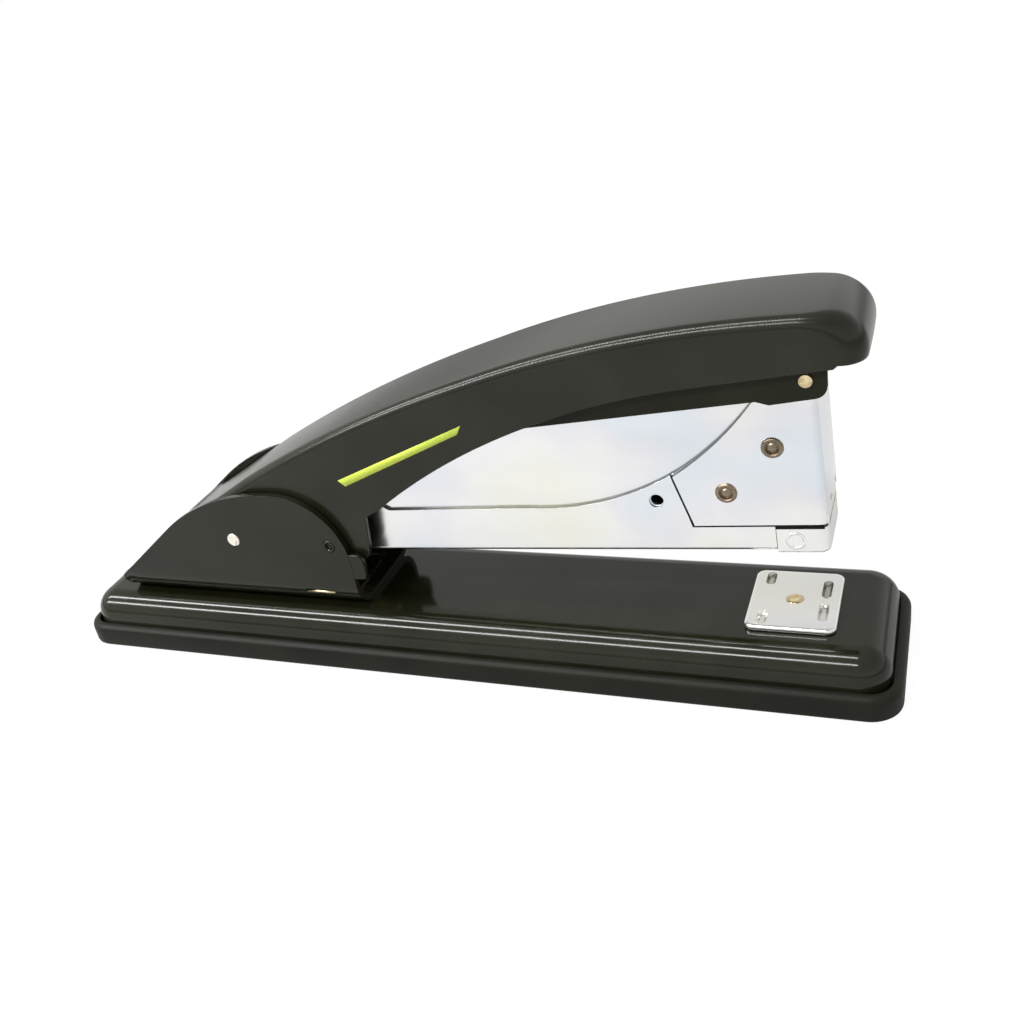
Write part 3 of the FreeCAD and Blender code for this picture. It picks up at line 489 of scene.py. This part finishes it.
# ---------------------------------------------------------------- base
def make_sole():
    """The moulded sole: a tray with a rounded rim, hollowed a little underneath."""
    wall = [(5.0, 0.5), (3.4, 0.5), (3.0, 0.1), (2.7, 0.0), (0.9, 0.0), (0.45, 0.12), (0.12, 0.45),
            (0.0, 0.9), (0.0, 3.7), (0.08, 4.2), (0.3, 4.65), (0.7, 5.0), (1.2, 5.2), (1.7, 5.3),
            (1.9, 5.25), (1.97, 5.0), (2.0, 2.5)]
    rings = [[world(x, y, z) for x, y in rounded(SOLE_LONG - inset, SOLE_WIDE - inset, max(6 - inset, 0.8))]
             for inset, z in wall]
    sole = stack("sole_tray", rings)
    sole.data.set_sharp_from_angle(angle=math.radians(40))
    return dress(sole, "sole_rubber", "base", "base_sole")


def make_shell():
    """The pressed cover on the sole, with its drawn shoulder all the way round."""
    edge = 5.2
    wall = [(0.0, 2.6), (0.0, 4.0)]
    for k in range(15):
        a = math.radians(90 * k / 14)
        wall.append((edge * (1 - math.cos(a)), SHELL_TOP - edge * (1 - math.sin(a))))
    long, wide = SOLE_LONG - SOLE_RIM, SOLE_WIDE - SOLE_RIM
    rings = [[world(x, y, z)
              for x, y in rounded(long - inset, wide - inset, max(5.6 - inset * 0.92, 0.5), 12)]
             for inset, z in wall]
    shell = stack("base_cover", rings)
    anvil_hole = turned("hole", [(1.5, 10), (1.5, 14)], lambda d, a, b: world(ANVIL_X + a, b, d))
    cut(shell, anvil_hole)
    for face in shell.data.polygons:
        face.use_smooth = True
    even = shell.modifiers.new("even", "WEIGHTED_NORMAL")
    even.keep_sharp = True
    return dress(shell, "black_enamel", "base", "base_shell")


EAR_OUTLINE = path((-77.6, 16.4), ((-60.2, 29.7), 8), ((-47.2, 36.55), (-32.0, 38.9), 24),
                   ((-20.9, 34.3), (-16.3, 23.2), 26))


def make_bracket():
    """The rear bracket: one sheet bent up into two ears."""
    bend = 6.0
    foot = SHELL_TOP
    rows = []
    for x, top in EAR_OUTLINE:
        side = []
        limit = foot + bend
        first = 90.0
        if top >= limit:
            side += [(EAR_OUT, top + (limit - top) * k / 3) for k in range(3)]
        else:
            first = math.degrees(math.acos((limit - top) / bend))
        count = 14 - len(side)
        for k in range(count):
            a = math.radians(first * (1 - k / (count - 1)))
            side.append((EAR_OUT - bend + bend * math.sin(a), limit - bend * math.cos(a)))
        near = [world(x, -y, z) for y, z in side]
        far = [world(x, y, z) for y, z in reversed(side)]
        rows.append(near + [world(x, y, foot) for y in (-3.5, 0, 3.5)] + far)
    bracket = grid("rear_ears", rows)
    thicken(bracket, 1.3)
    slots = block("slots", (-29.0, -30, 15.15), (-22.0, 30, 16.25), world)
    pin = across("pin", PIVOT_X, PIVOT_Z, 1.55, world)
    stop = across("stop", STOP_X, STOP_Z, 1.4, world)
    cut(bracket, slots, pin, stop)
    soften(bracket, 0.28)
    return dress(bracket, "black_enamel", "base", "rear_bracket")


def make_lugs():
    """The stop lugs, bent off the ears' front edges."""
    for name, side in (("near", -1), ("far", 1)):
        outline = path((-17.6, 19.5), ((-14.0, 19.6), 3), ((-13.35, 20.2), 2), ((-13.2, 22.4), 3),
                       ((-13.5, 24.7), 3), ((-14.3, 25.4), 2), ((-17.6, 25.5), 3))
        lug = slab(f"stop_lug_{name}", outline, 11.75 * side, 12.95 * side, world)
        soften(lug, 0.3)
        dress(lug, "black_enamel", "base")


def make_pins():
    """The pivot pin, its staked ends and the tubular stop pin."""
    to_pivot = lambda d, a, b: world(PIVOT_X + a, d, PIVOT_Z + b)
    half = [(0.0, 13.12), (0.55, 13.14), (1.0, 13.22), (1.3, 13.22), (1.47, 13.05), (1.5, 12.8)]
    profile = [(r, -d) for r, d in half] + [(r, d) for r, d in reversed(half)]
    pin = turned("pivot_pin_turned", [(max(r, 0.02), d) for r, d in profile], to_pivot)
    notch = block("notch", (PIVOT_X + 0.5, -14, PIVOT_Z - 1.7), (PIVOT_X + 1.3, -13.0, PIVOT_Z - 0.1), world)
    cut(pin, notch)
    soften(pin, 0.05, 2, 45)
    dress(pin, "plain_steel", "base", "pivot_pin", material=PIN_END)
    to_stop = lambda d, a, b: world(STOP_X + a, d, STOP_Z + b)
    half = [(0.02, 12.4), (0.6, 12.42), (0.72, 12.6), (0.8, 13.1), (1.0, 13.24), (1.2, 13.22), (1.35, 13.0)]
    profile = [(r, -d) for r, d in half] + [(r, d) for r, d in reversed(half)]
    stop = turned("stop_pin_turned", profile, to_stop)
    dress(stop, "black_enamel", "base", "stop_pin")


# ---------------------------------------------------------------- anvil
def capsule(name, x, inner, outer, radius, side):
    """A cutter for one anvil pocket: a round-ended groove, deeper in its middle."""
    rings = []
    for t, grow in ((0.0, 0.45), (0.25, 0.8), (0.5, 1.0), (1.2, 1.0)):
        depth = -0.62 + t * 1.2
        shape = []
        for k in range(24):
            a = math.tau * k / 24
            y = (outer - radius) if math.cos(a) > 0 else (inner + radius)
            shape.append((x + radius * grow * math.sin(a), side * (y + radius * grow * math.cos(a))))
        rings.append([anvil(px, py, 1.15 + depth) for px, py in shape])
    cutter = stack(name, rings)
    for face in cutter.data.polygons:
        # the pocket walls take the plate's second finish, a painted shade
        face.material_index = 1
        face.use_smooth = True
    return cutter


def make_anvil():
    """The bright anvil plate with its clinching and pinning pockets."""
    wall = [(0.3, 0.05), (0.05, 0.2), (0.0, 0.45), (0.0, 0.75), (0.08, 0.95), (0.22, 1.09), (0.45, 1.15),
            (0.8, 1.15)]
    rings = [[anvil(x, y, z) for x, y in rounded(8.25 - inset, 9.55 - inset, 1.8 - inset * 0.8, 8)]
             for inset, z in wall]
    plate = stack("anvil_pressed", rings)
    pockets = [capsule("pocket", 5.5, 1.0, 6.6, 0.9, s) for s in (-1, 1)]
    pockets.append(block("waist", (5.1, -1.6, 0.85), (5.9, 1.6, 2), anvil))
    pockets += [capsule("pocket", -5.2, 4.4, 8.6, 0.9, s) for s in (-1, 1)]
    hole = turned("hole", [(1.45, -1), (1.45, 3)], lambda d, a, b: anvil(a, b, d))
    plate.data.materials.append(CHROME)
    # second slot: the pockets' painted shade
    plate.data.materials.append(POCKET_PAINTED_SHADE)
    cut(plate, *pockets, hole)
    soften(plate, 0.09, 2, 40)
    dress(plate, "bright_chrome", "anvil", "anvil_plate")
    profile = [(0.02, 1.22), (0.5, 1.25), (0.8, 1.34), (1.1, 1.36), (1.5, 1.24), (1.75, 1.12), (1.45, 1.10),
               (1.44, -3.0), (0.02, -3.0)]
    rivet = turned("anvil_rivet", profile, lambda d, a, b: anvil(a, b, d))
    dress(rivet, "rivet_brass", "anvil", "anvil_pivot")


# ---------------------------------------------------------------- magazine
CURVE = path((-6.5, 0.0), ((-4.6, 4.6), (0.0, 6.5), 10), ((31.0, 6.5), 6), ((36.0, 3.35), 3),
             ((66.0, 3.35), 6), ((92.6, 8.55), (111.1, 24.0), 44), ((120.15, 24.0), 3))


def make_channel():
    """The magazine channel: a floor and two sides that rise in a curve to the front."""
    low, bend = CHANNEL_LOW, 1.2
    rows = []
    for u, top in CURVE:
        side = [(CHANNEL_OUT, top), (CHANNEL_OUT, (top + low + bend) / 2)]
        for k in range(6):
            a = math.radians(90 * (1 - k / 5))
            side.append((CHANNEL_OUT - bend + bend * math.sin(a), low + bend - bend * math.cos(a)))
        rows.append([magazine(u, -y, w) for y, w in side] + [magazine(u, 0, low)]
                    + [magazine(u, y, w) for y, w in reversed(side)])
    channel = grid("magazine_sides", rows)
    thicken(channel, 0.7, edge=SHEARED_EDGE_AND_SHADE, face=CHROME)
    mouth = block("mouth", (111.85, -20, -20), (140, 20, -0.9), magazine)
    sight = across("sight", SIGHT_U, SIGHT_W, 1.35, magazine)
    pin = across("pin", 0, 0, 1.6, magazine)
    stop = block("stop", (21.8, -20, -3.1), (24.6, 20, 2.6), magazine)
    cut(channel, mouth, sight, pin, stop)
    soften(channel, 0.14, 2)
    dress(channel, "bright_chrome", "magazine", "magazine_channel")


def make_frame():
    """The upside-down channel between the magazine's sides."""
    top_line = [(30.0, 11.5), (51.0, 18.5), (72.0, 25.5), (88.0, 25.5), (104.6, 25.5), (104.7, 25.5),
                (106.7, 24.0), (112.0, 24.0), (119.1, 24.0)]
    half, bend = 6.6, 0.9
    rows = []
    for u, top in top_line:
        side = [(half, 1.8), (half, (1.8 + top) / 2)]
        for k in range(6):
            a = math.radians(90 * k / 5)
            side.append((half - bend + bend * math.cos(a), top - bend + bend * math.sin(a)))
        rows.append([magazine(u, -y, w) for y, w in side] + [magazine(u, 0, top)]
                    + [magazine(u, y, w) for y, w in reversed(side)])
    inner = grid("inner_frame", rows)
    thicken(inner, 0.7, edge=SHEARED_EDGE_AND_SHADE, face=CHROME)
    sight = across("sight", SIGHT_U, SIGHT_W, 1.2, magazine)
    cut(inner, block("web", (105.7, -5.9, 15), (140, 5.9, 40), magazine), sight)
    soften(inner, 0.14, 2)
    dress(inner, "bright_chrome", "magazine", "upper_frame")


CASING_BACK = path((97.9, -0.45), ((95.2, 9.6), 6), ((104.7, 16.9), (111.1, 24.0), 26))


def make_casing():
    """The front casing: one sheet wrapped round the driver, with a rounded nose."""
    corner = 1.3
    rows = []
    for u, w in CASING_BACK:
        side = [(u, CASING_OUT), (u + (119.0 - u) / 2, CASING_OUT)]
        for k in range(9):
            a = math.radians(90 * k / 8)
            side.append((CASING_END - corner + corner * math.sin(a),
                         CASING_OUT - corner + corner * math.cos(a)))
        rows.append([magazine(x, -y, w) for x, y in side] + [magazine(CASING_END, 0, w)]
                    + [magazine(x, y, w) for x, y in reversed(side)])
    casing = grid("casing_wrap", rows)
    thicken(casing, 0.72, edge=SHEARED_EDGE_AND_SHADE, face=CHROME)
    cut(casing, block("mouth", (REACH - 1, -CHANNEL_OUT, -5), (130, CHANNEL_OUT, 1.9), magazine))
    soften(casing, 0.16, 2)
    dress(casing, "bright_chrome", "magazine", "front_casing")


def make_painted_gap_shadows():
    """A dark strip along the casing's back and lower edges, on both sides: a painted shadow of the gap there.
    """
    gap = 0.65
    inner = CASING_BACK[:8]
    outer = []
    for k, (u, w) in enumerate(inner):
        a, b = inner[max(k - 1, 0)], inner[min(k + 1, len(inner) - 1)]
        du, dw = b[0] - a[0], b[1] - a[1]
        size = math.hypot(du, dw)
        outer.append((u - dw / size * gap, w + du / size * gap))
    foot = inner[0][1] + 0.3
    corner = (inner[0][0] - gap * 0.9, inner[0][1] - 0.7)
    outline = [(120.2, foot), (120.2, -1.7), (111.9, -1.7), (111.9, corner[1]), corner,
               *outer[1:7], *reversed(inner[1:7]), (inner[0][0] + 0.3, foot)]
    for name, side in (("near", -1), ("far", 1)):
        # each strip is a painted shadow of the gap along the casing's edge
        gap_shadow_strip = slab(f"casing_painted_gap_shadow_{name}", outline, side * (CHANNEL_OUT - 0.2),
                    side * (CHANNEL_OUT + 0.06), magazine)
        dress(gap_shadow_strip, "bright_chrome", "magazine", material=PAINTED_GAP_SHADOW)


def make_nose():
    """The rail's nose: a folded box with round front corners and a ring pressed in each side."""
    back, front, low, top = CASING_END - 9.0, CASING_END - 0.1, -6.67, -1.6
    corner = 1.8
    rows = []
    for w in (top, (top + low) / 2, low + 0.5, low + 0.15, low):
        tuck = 0.5 - math.sqrt(max(0.25 - max(low + 0.5 - w, 0) ** 2, 0))
        y = CHANNEL_OUT - tuck
        side = [(back, y), (back + 4, y)]
        for k in range(9):
            a = math.radians(90 * k / 8)
            side.append((front - tuck - corner + corner * math.sin(a), y - corner + corner * math.cos(a)))
        rows.append([magazine(u, -v, w) for u, v in side] + [magazine(front - tuck, 0, w)]
                    + [magazine(u, v, w) for u, v in reversed(side)])
    nose = grid("nose_folded", rows)
    thicken(nose, 0.6, edge=SHEARED_EDGE_AND_SHADE, face=CHROME)
    cut(nose, block("driver_way", (REACH - 0.5, -6.65, low - 1), (REACH + 0.4, 6.65, 3), magazine))
    soften(nose, 0.1, 2, 45)
    plate = block("floor", (back, -6.8, low), (REACH - 0.5, 6.8, low + 0.6), magazine)
    wall = block("wall", (GATE_FRONT, -6.0, low + 0.3), (front - 0.05, 6.0, 1.5), magazine)
    cut(wall, block("relief", (100, -1.6, 0.2), (130, 1.6, 3), magazine))
    for part in (plate, wall):
        soften(part, 0.12, 2, 45)
        part.modifiers.clear()
        part.data.materials.append(CHROME)
    join(nose, plate, wall)
    dress(nose, "bright_chrome", "rail", "rail_nose")
    for name, side in (("near", -1), ("far", 1)):
        profile = [(1.25, 7.2), (1.25, 7.33), (1.38, 7.42), (1.62, 7.42), (1.75, 7.33), (1.75, 7.2)]
        ring = turned(f"nose_ring_{name}", [(r, side * d) for r, d in profile],
                      lambda d, a, b: magazine(back + 3.2 + a, d, -4.1 + b))
        dress(ring, "bright_chrome", "rail")


def make_casing_rivets():
    """Tubular rivets: a flat rim, a groove and a pressed-in eye."""
    heads = []
    for name, u, w in RIVETS:
        half = [(0.02, 8.5), (0.35, 8.48), (0.7, 8.38), (0.98, 8.2), (1.12, 8.05), (1.26, 8.05), (1.36, 8.3),
                (1.55, 8.45), (1.8, 8.44), (2.05, 8.28), (2.18, 8.02), (1.9, 7.95)]
        half = [(r * 0.89, d) for r, d in half]
        profile = [(r, -d) for r, d in half] + [(r, d) for r, d in reversed(half)]
        heads.append(turned(f"casing_rivet_{name}", profile,
                            lambda d, a, b, u=u, w=w: magazine(u + a, d, w + b)))
    both = join(*heads)
    both.data.set_sharp_from_angle(angle=math.radians(60))
    dress(both, "rivet_brass", "magazine", "casing_rivets", material=PEWTER)


# ---------------------------------------------------------------- springs
def coil(name, start, end, radius, wire, turns, closed_ends=1.5):
    """A helical spring between two points, its end turns closed up."""
    axis = (end - start).normalized()
    length = (end - start).length
    one = axis.orthogonal().normalized()
    two = axis.cross(one)
    steps = int(turns * 20)
    ring = 8
    rows = []
    flat = closed_ends / turns
    for i in range(steps + 1):
        t = i / steps
        pitch = wire * MM * 1.05 / (length / turns)
        if t < flat:
            s = t * pitch
        elif t > 1 - flat:
            s = 1 - (1 - t) * pitch
        else:
            low = flat * pitch
            s = low + (t - flat) / (1 - 2 * flat) * (1 - 2 * low)
        s = s * (1 - wire * MM / length) + wire * MM / 2 / length
        angle = math.tau * turns * t
        spoke = one * math.cos(angle) + two * math.sin(angle)
        centre = start + axis * (length * s) + spoke * ((radius - wire / 2) * MM)
        rows.append([centre + (spoke * math.cos(math.tau * k / ring) + axis * math.sin(math.tau * k / ring))
                     * (wire / 2 * MM) for k in range(ring)])
    return stack(name, rows)


def make_springs():
    """The three coil springs as wound wire, in their rest shape; two of them get a mesh of their own."""
    foot = magazine(RETURN_U, 0, 25.5)
    head = magazine(RETURN_U, 0, 33.2)
    back = coil("return_coil", foot, head, 4.0, 0.9, 4.5)
    dress(back, "spring_steel", "magazine", "return_spring")
    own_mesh(back)
    start, end = magazine(28.9, 0, -2.8), magazine(110.5, 0, -2.8)
    feed = coil("pusher_coil", start, end, 2.1, 0.55, 34)
    dress(feed, "spring_steel", "rail", "pusher_spring")
    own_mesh(feed)
    low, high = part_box("anvil_spring")
    centre = (low + high) / 2
    seat = coil("anvil_coil", Vector((centre.x, centre.y, low.z)), Vector((centre.x, centre.y, high.z)),
                (high.x - low.x) / 2 / MM, 0.7, 4)
    dress(seat, "spring_steel", "anvil", "anvil_spring")


def make_lift_spring():
    """The brass hairpin under the magazine, whose leaf gives on the real stapler as the magazine swings down;
    here it keeps one shape, with a mesh of its own.
    """
    tabs_low, tabs_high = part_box("lift_spring")
    low, leaf, back, touch = tabs_low.z / MM, 0.5, PIVOT_X + 5, tabs_high.z / MM
    outline = path((PIVOT_X + 21.6, low), ((PIVOT_X + 21.6, low + leaf), 1), ((back, low + leaf), 4),
                   ((back - 0.8, low + leaf + 0.8), (back, low + leaf + 1.6), 8),
                   ((PIVOT_X + 25.6, touch - leaf), 4),
                   ((PIVOT_X + 25.6, touch), 1), ((back, low + leaf * 2 + 1.6), 4),
                   ((back - 1.3, low + leaf + 0.8), (back, low), 8))
    hairpin = slab("lift_hairpin", outline[:-1], -5.5, 5.5, world)
    soften(hairpin, 0.1, 2, 50)
    dress(hairpin, "spring_steel", "base", "lift_spring", material=BRASS)
    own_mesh(hairpin)
    half = tabs_high.y / MM
    for name, side in (("near", -1), ("far", 1)):
        tab = block(f"lift_tab_{name}", (PIVOT_X + 14.8, min(side * 5.4, side * half), low),
                    (PIVOT_X + 21.4, max(side * 5.4, side * half), low + leaf), world)
        dress(tab, "spring_steel", "base", material=BRASS)


# ---------------------------------------------------------------- handle
CROWN = path((-16.76, -7.3), ((-20.56, -2.7), (-16.88, 0.70), 12), ((4.91, 13.2), 10),
             ((30.05, 25.1), (58.65, 35.3), 26), ((88.8, 42.6), (116.7, 45.3), 24),
             ((120.8, 45.38), 4), ((126.1, 42.8), (127.35, 37.0), 22))
LOWER = path((122.3, 36.4), ((97.6, 33.1), 8), ((64.3, 23.9), (36.0, 7.8), 36), ((32.2, 5.6), 2),
             ((31.6, -1.2), 4), ((30.1, -4.3), (26.2, -5.3), 6), ((-16.76, -7.3), 10))


def edge_radius(k):
    """The radius across the handle's edge, which grows round the nose."""
    share = max(min((CROWN[k][0] - REACH + 3) / 9, 1), 0)
    return 2.0 + 2.3 * share * share * (3 - 2 * share)


def make_handle():
    """The arched handle shell, with drawn edges and a rounded nose."""
    count = len(CROWN)
    normals = []
    for k in range(count):
        a, b = CROWN[max(k - 1, 0)], CROWN[min(k + 1, count - 1)]
        du, dw = b[0] - a[0], b[1] - a[1]
        size = math.hypot(du, dw)
        rise = max(du, 0) if k > count / 2 else du
        size = math.hypot(rise, dw)
        normals.append((-dw / size, rise / size))
    turn, flat = 9, 6
    rows = []
    camber = 0.12
    for k, (u, w) in enumerate(CROWN):
        nu, nw = normals[k]
        r = edge_radius(k)
        ring = []
        for i in range(turn + 1):
            a = math.radians(90 * i / turn)
            y = HANDLE_OUT - r + r * math.cos(a)
            drop = r - r * math.sin(a) + camber * (1 - i / turn * 0.25)
            ring.append((y, drop))
        half = HANDLE_OUT - r
        for i in range(1, flat):
            y = half * (1 - i / flat)
            ring.append((y, camber * 0.75 * (y / half) ** 2))
        side = [(y, u - nu * drop, w - nw * drop) for y, drop in ring]
        rows.append([handle(a, -y, b) for y, a, b in side] + [handle(u, 0, w)]
                    + [handle(a, y, b) for y, a, b in reversed(side)])
    wide = len(rows[0])
    vertices = [p for row in rows for p in row]
    faces = []
    for i in range(count - 1):
        for j in range(wide - 1):
            faces.append((i * wide + j, i * wide + j + 1, (i + 1) * wide + j + 1, (i + 1) * wide + j))
    inside = LOWER[:-1]
    near = list(range(len(vertices), len(vertices) + len(inside)))
    vertices += [handle(u, -HANDLE_OUT, w) for u, w in inside]
    far = list(range(len(vertices), len(vertices) + len(inside)))
    vertices += [handle(u, HANDLE_OUT, w) for u, w in inside]
    faces.append(tuple([i * wide for i in range(count)] + near))
    faces.append(tuple([i * wide + wide - 1 for i in range(count)] + far))
    shell = new_piece("handle_arch", vertices, faces)
    mesh = bmesh.new()
    mesh.from_mesh(shell.data)
    bmesh.ops.recalc_face_normals(mesh, faces=mesh.faces)
    mesh.to_mesh(shell.data)
    mesh.free()
    outwards(shell)
    thicken(shell, 1.2, even=False)
    pin = across("pin", 0, 0, 1.55, handle)
    cut(shell, pin)
    soften(shell, 0.4, 3, 50)
    dress(shell, "black_enamel", "handle", "handle_shell", material=SATIN)


def make_stripe():
    """A plain lime bar on each side of the handle, in place of any lettering."""
    for name, side in (("near", -1), ("far", 1)):
        outline = [(28.2, 14.2), (29.6, 12.9), (56.0, 24.6), (57.0, 26.4)]
        bar = slab(f"lime_bar_{name}", outline, side * (HANDLE_OUT - 0.05),
                   side * (HANDLE_OUT + 0.04), handle)
        dress(bar, "black_enamel", "handle", material=LIME)


def dress_frame():
    """Finishes for the CAD nodes, some of which stay as they are."""
    finishes = (
        ("black_enamel", DULL, ("handle_bracket",)),
        ("black_enamel", ENAMEL, ("handle_shell", "rear_bracket", "base_shell", "stop_pin")),
        ("sole_rubber", RUBBER, ("base_sole",)),
        ("bright_chrome", CHROME, ("magazine_channel", "upper_frame", "front_casing", "rail_nose",
                                   "anvil_plate", "staple_rail")),
        ("rivet_brass", BRASS, ("casing_rivets", "hanger_studs", "anvil_pivot", "bracket_rivets")),
        ("spring_steel", BRASS, ("lift_spring",)),
        ("spring_steel", SPRING, ("return_spring", "pusher_spring", "anvil_spring", "driver_blade",
                                  "anvil_retainer")),
        ("plain_steel", PLAIN, ("driver_hanger", "pivot_washers", "pivot_bush", "pivot_pin", "guide_rod",
                                "pusher")),
    )
    for slot, material, names in finishes:
        for name in names:
            node = frame["nodes"][name]
            node.data.materials.clear()
            node.data.materials.append(material)


dress_frame()
make_sole()
make_shell()
make_bracket()
make_lugs()
make_pins()
make_anvil()
make_channel()
make_frame()
make_casing()
make_painted_gap_shadows()
make_nose()
make_casing_rivets()
make_springs()
make_lift_spring()
make_handle()
make_stripe()


# ---------------------------------------------------------------- studio
def make_floor():
    """A plain pale table top, clear from below so that the underside of the object can be seen."""
    radius, corners = 4000, 64
    ring = [world(radius * math.cos(math.tau * k / corners), radius * math.sin(math.tau * k / corners), -0.05)
            for k in range(corners)]
    floor = new_piece("table_top", ring, [tuple(range(corners))])
    material = bpy.data.materials.new("table_pale")
    material.use_nodes = True
    tree = material.node_tree
    surface = tree.nodes["Principled BSDF"]
    surface.inputs["Base Color"].default_value = (0.52, 0.52, 0.51, 1)
    surface.inputs["Roughness"].default_value = 0.7
    surface.inputs["Specular IOR Level"].default_value = 0.2
    glow = tree.nodes.new("ShaderNodeEmission")
    glow.inputs["Strength"].default_value = 1.06
    seen = tree.nodes.new("ShaderNodeLightPath")
    add = tree.nodes.new("ShaderNodeMixShader")
    share = tree.nodes.new("ShaderNodeMath")
    share.operation = "MULTIPLY"
    share.inputs[1].default_value = 0.9
    tree.links.new(seen.outputs["Is Camera Ray"], share.inputs[0])
    tree.links.new(share.outputs[0], add.inputs[0])
    tree.links.new(surface.outputs[0], add.inputs[1])
    tree.links.new(glow.outputs[0], add.inputs[2])
    side = tree.nodes.new("ShaderNodeNewGeometry")
    clear = tree.nodes.new("ShaderNodeBsdfTransparent")
    above = tree.nodes.new("ShaderNodeMixShader")
    tree.links.new(side.outputs["Backfacing"], above.inputs[0])
    tree.links.new(add.outputs[0], above.inputs[1])
    tree.links.new(clear.outputs[0], above.inputs[2])
    tree.links.new(above.outputs[0], tree.nodes["Material Output"].inputs[0])
    floor.data.materials.append(material)


def make_world():
    """Studio surroundings: dim at the horizon, bright just above it, softer overhead, white behind."""
    around = bpy.data.worlds.new("studio")
    scene.world = around
    around.use_nodes = True
    tree = around.node_tree
    where = tree.nodes.new("ShaderNodeTexCoord")
    split = tree.nodes.new("ShaderNodeSeparateXYZ")
    tree.links.new(where.outputs["Generated"], split.inputs[0])
    shade = tree.nodes.new("ShaderNodeMapRange")
    shade.inputs["From Min"].default_value = -1
    tree.links.new(split.outputs["Z"], shade.inputs["Value"])
    levels = ramp(tree, shade.outputs["Result"], (
        (0.0, (0.55, 0.55, 0.55)), (0.48, (0.30, 0.30, 0.30)), (0.55, (0.48, 0.48, 0.47)),
        (0.60, (1.06, 1.06, 1.05)), (0.72, (0.84, 0.84, 0.84)), (0.85, (0.64, 0.64, 0.63)),
        (1.0, (0.74, 0.74, 0.73))))
    behind = tree.nodes["Background"]
    behind.inputs["Strength"].default_value = 1.0
    tree.links.new(levels, behind.inputs["Color"])
    white = tree.nodes.new("ShaderNodeBackground")
    white.inputs["Strength"].default_value = 1.0
    white.inputs["Color"].default_value = (1, 1, 1, 1)
    seen = tree.nodes.new("ShaderNodeLightPath")
    mix = tree.nodes.new("ShaderNodeMixShader")
    tree.links.new(seen.outputs["Is Camera Ray"], mix.inputs[0])
    tree.links.new(behind.outputs[0], mix.inputs[1])
    tree.links.new(white.outputs[0], mix.inputs[2])
    tree.links.new(mix.outputs[0], tree.nodes["World Output"].inputs[0])


def lamp(name, spot, target, wide, long, power, along=(1, 0, 0)):
    """A soft rectangular light that looks at a point, its long side along a direction."""
    data = bpy.data.lights.new(name, "AREA")
    data.shape = "RECTANGLE"
    data.size = long
    data.size_y = wide
    data.energy = power
    light = bpy.data.objects.new(name, data)
    scene.collection.objects.link(light)
    back = (Vector(spot) - Vector(target)).normalized()
    right = (Vector(along) - back * Vector(along).dot(back)).normalized()
    up = back.cross(right)
    light.matrix_world = Matrix(((right.x, up.x, back.x, spot[0]), (right.y, up.y, back.y, spot[1]),
                                 (right.z, up.z, back.z, spot[2]), (0, 0, 0, 1)))


def make_camera():
    """The camera, a quarter of a metre from the object, above and to the right of its near side."""
    data = bpy.data.cameras.new("view")
    camera = bpy.data.objects.new("view", data)
    scene.collection.objects.link(camera)
    data.sensor_width = 36
    data.lens = 39.36
    data.shift_x = 0.0395
    data.clip_start = 0.01
    right = Vector((0.91906, 0.35550, -0.17012))
    up = Vector((-0.03565, 0.50488, 0.86245))
    back = Vector((0.39249, -0.78658, 0.47669))
    spot = world(96.158, -179.244, 137.777)
    camera.matrix_world = Matrix([(right[i], up[i], back[i], spot[i]) for i in range(3)] + [(0, 0, 0, 1)])
    scene.camera = camera


make_floor()
make_world()
lamp("strip_high", (-0.50, -0.17, 0.95), (0, 0, 0), 0.07, 1.2, 9)
lamp("strip_low", (-0.50, -0.60, 0.75), (0, 0, 0), 0.07, 1.2, 9)
make_camera()
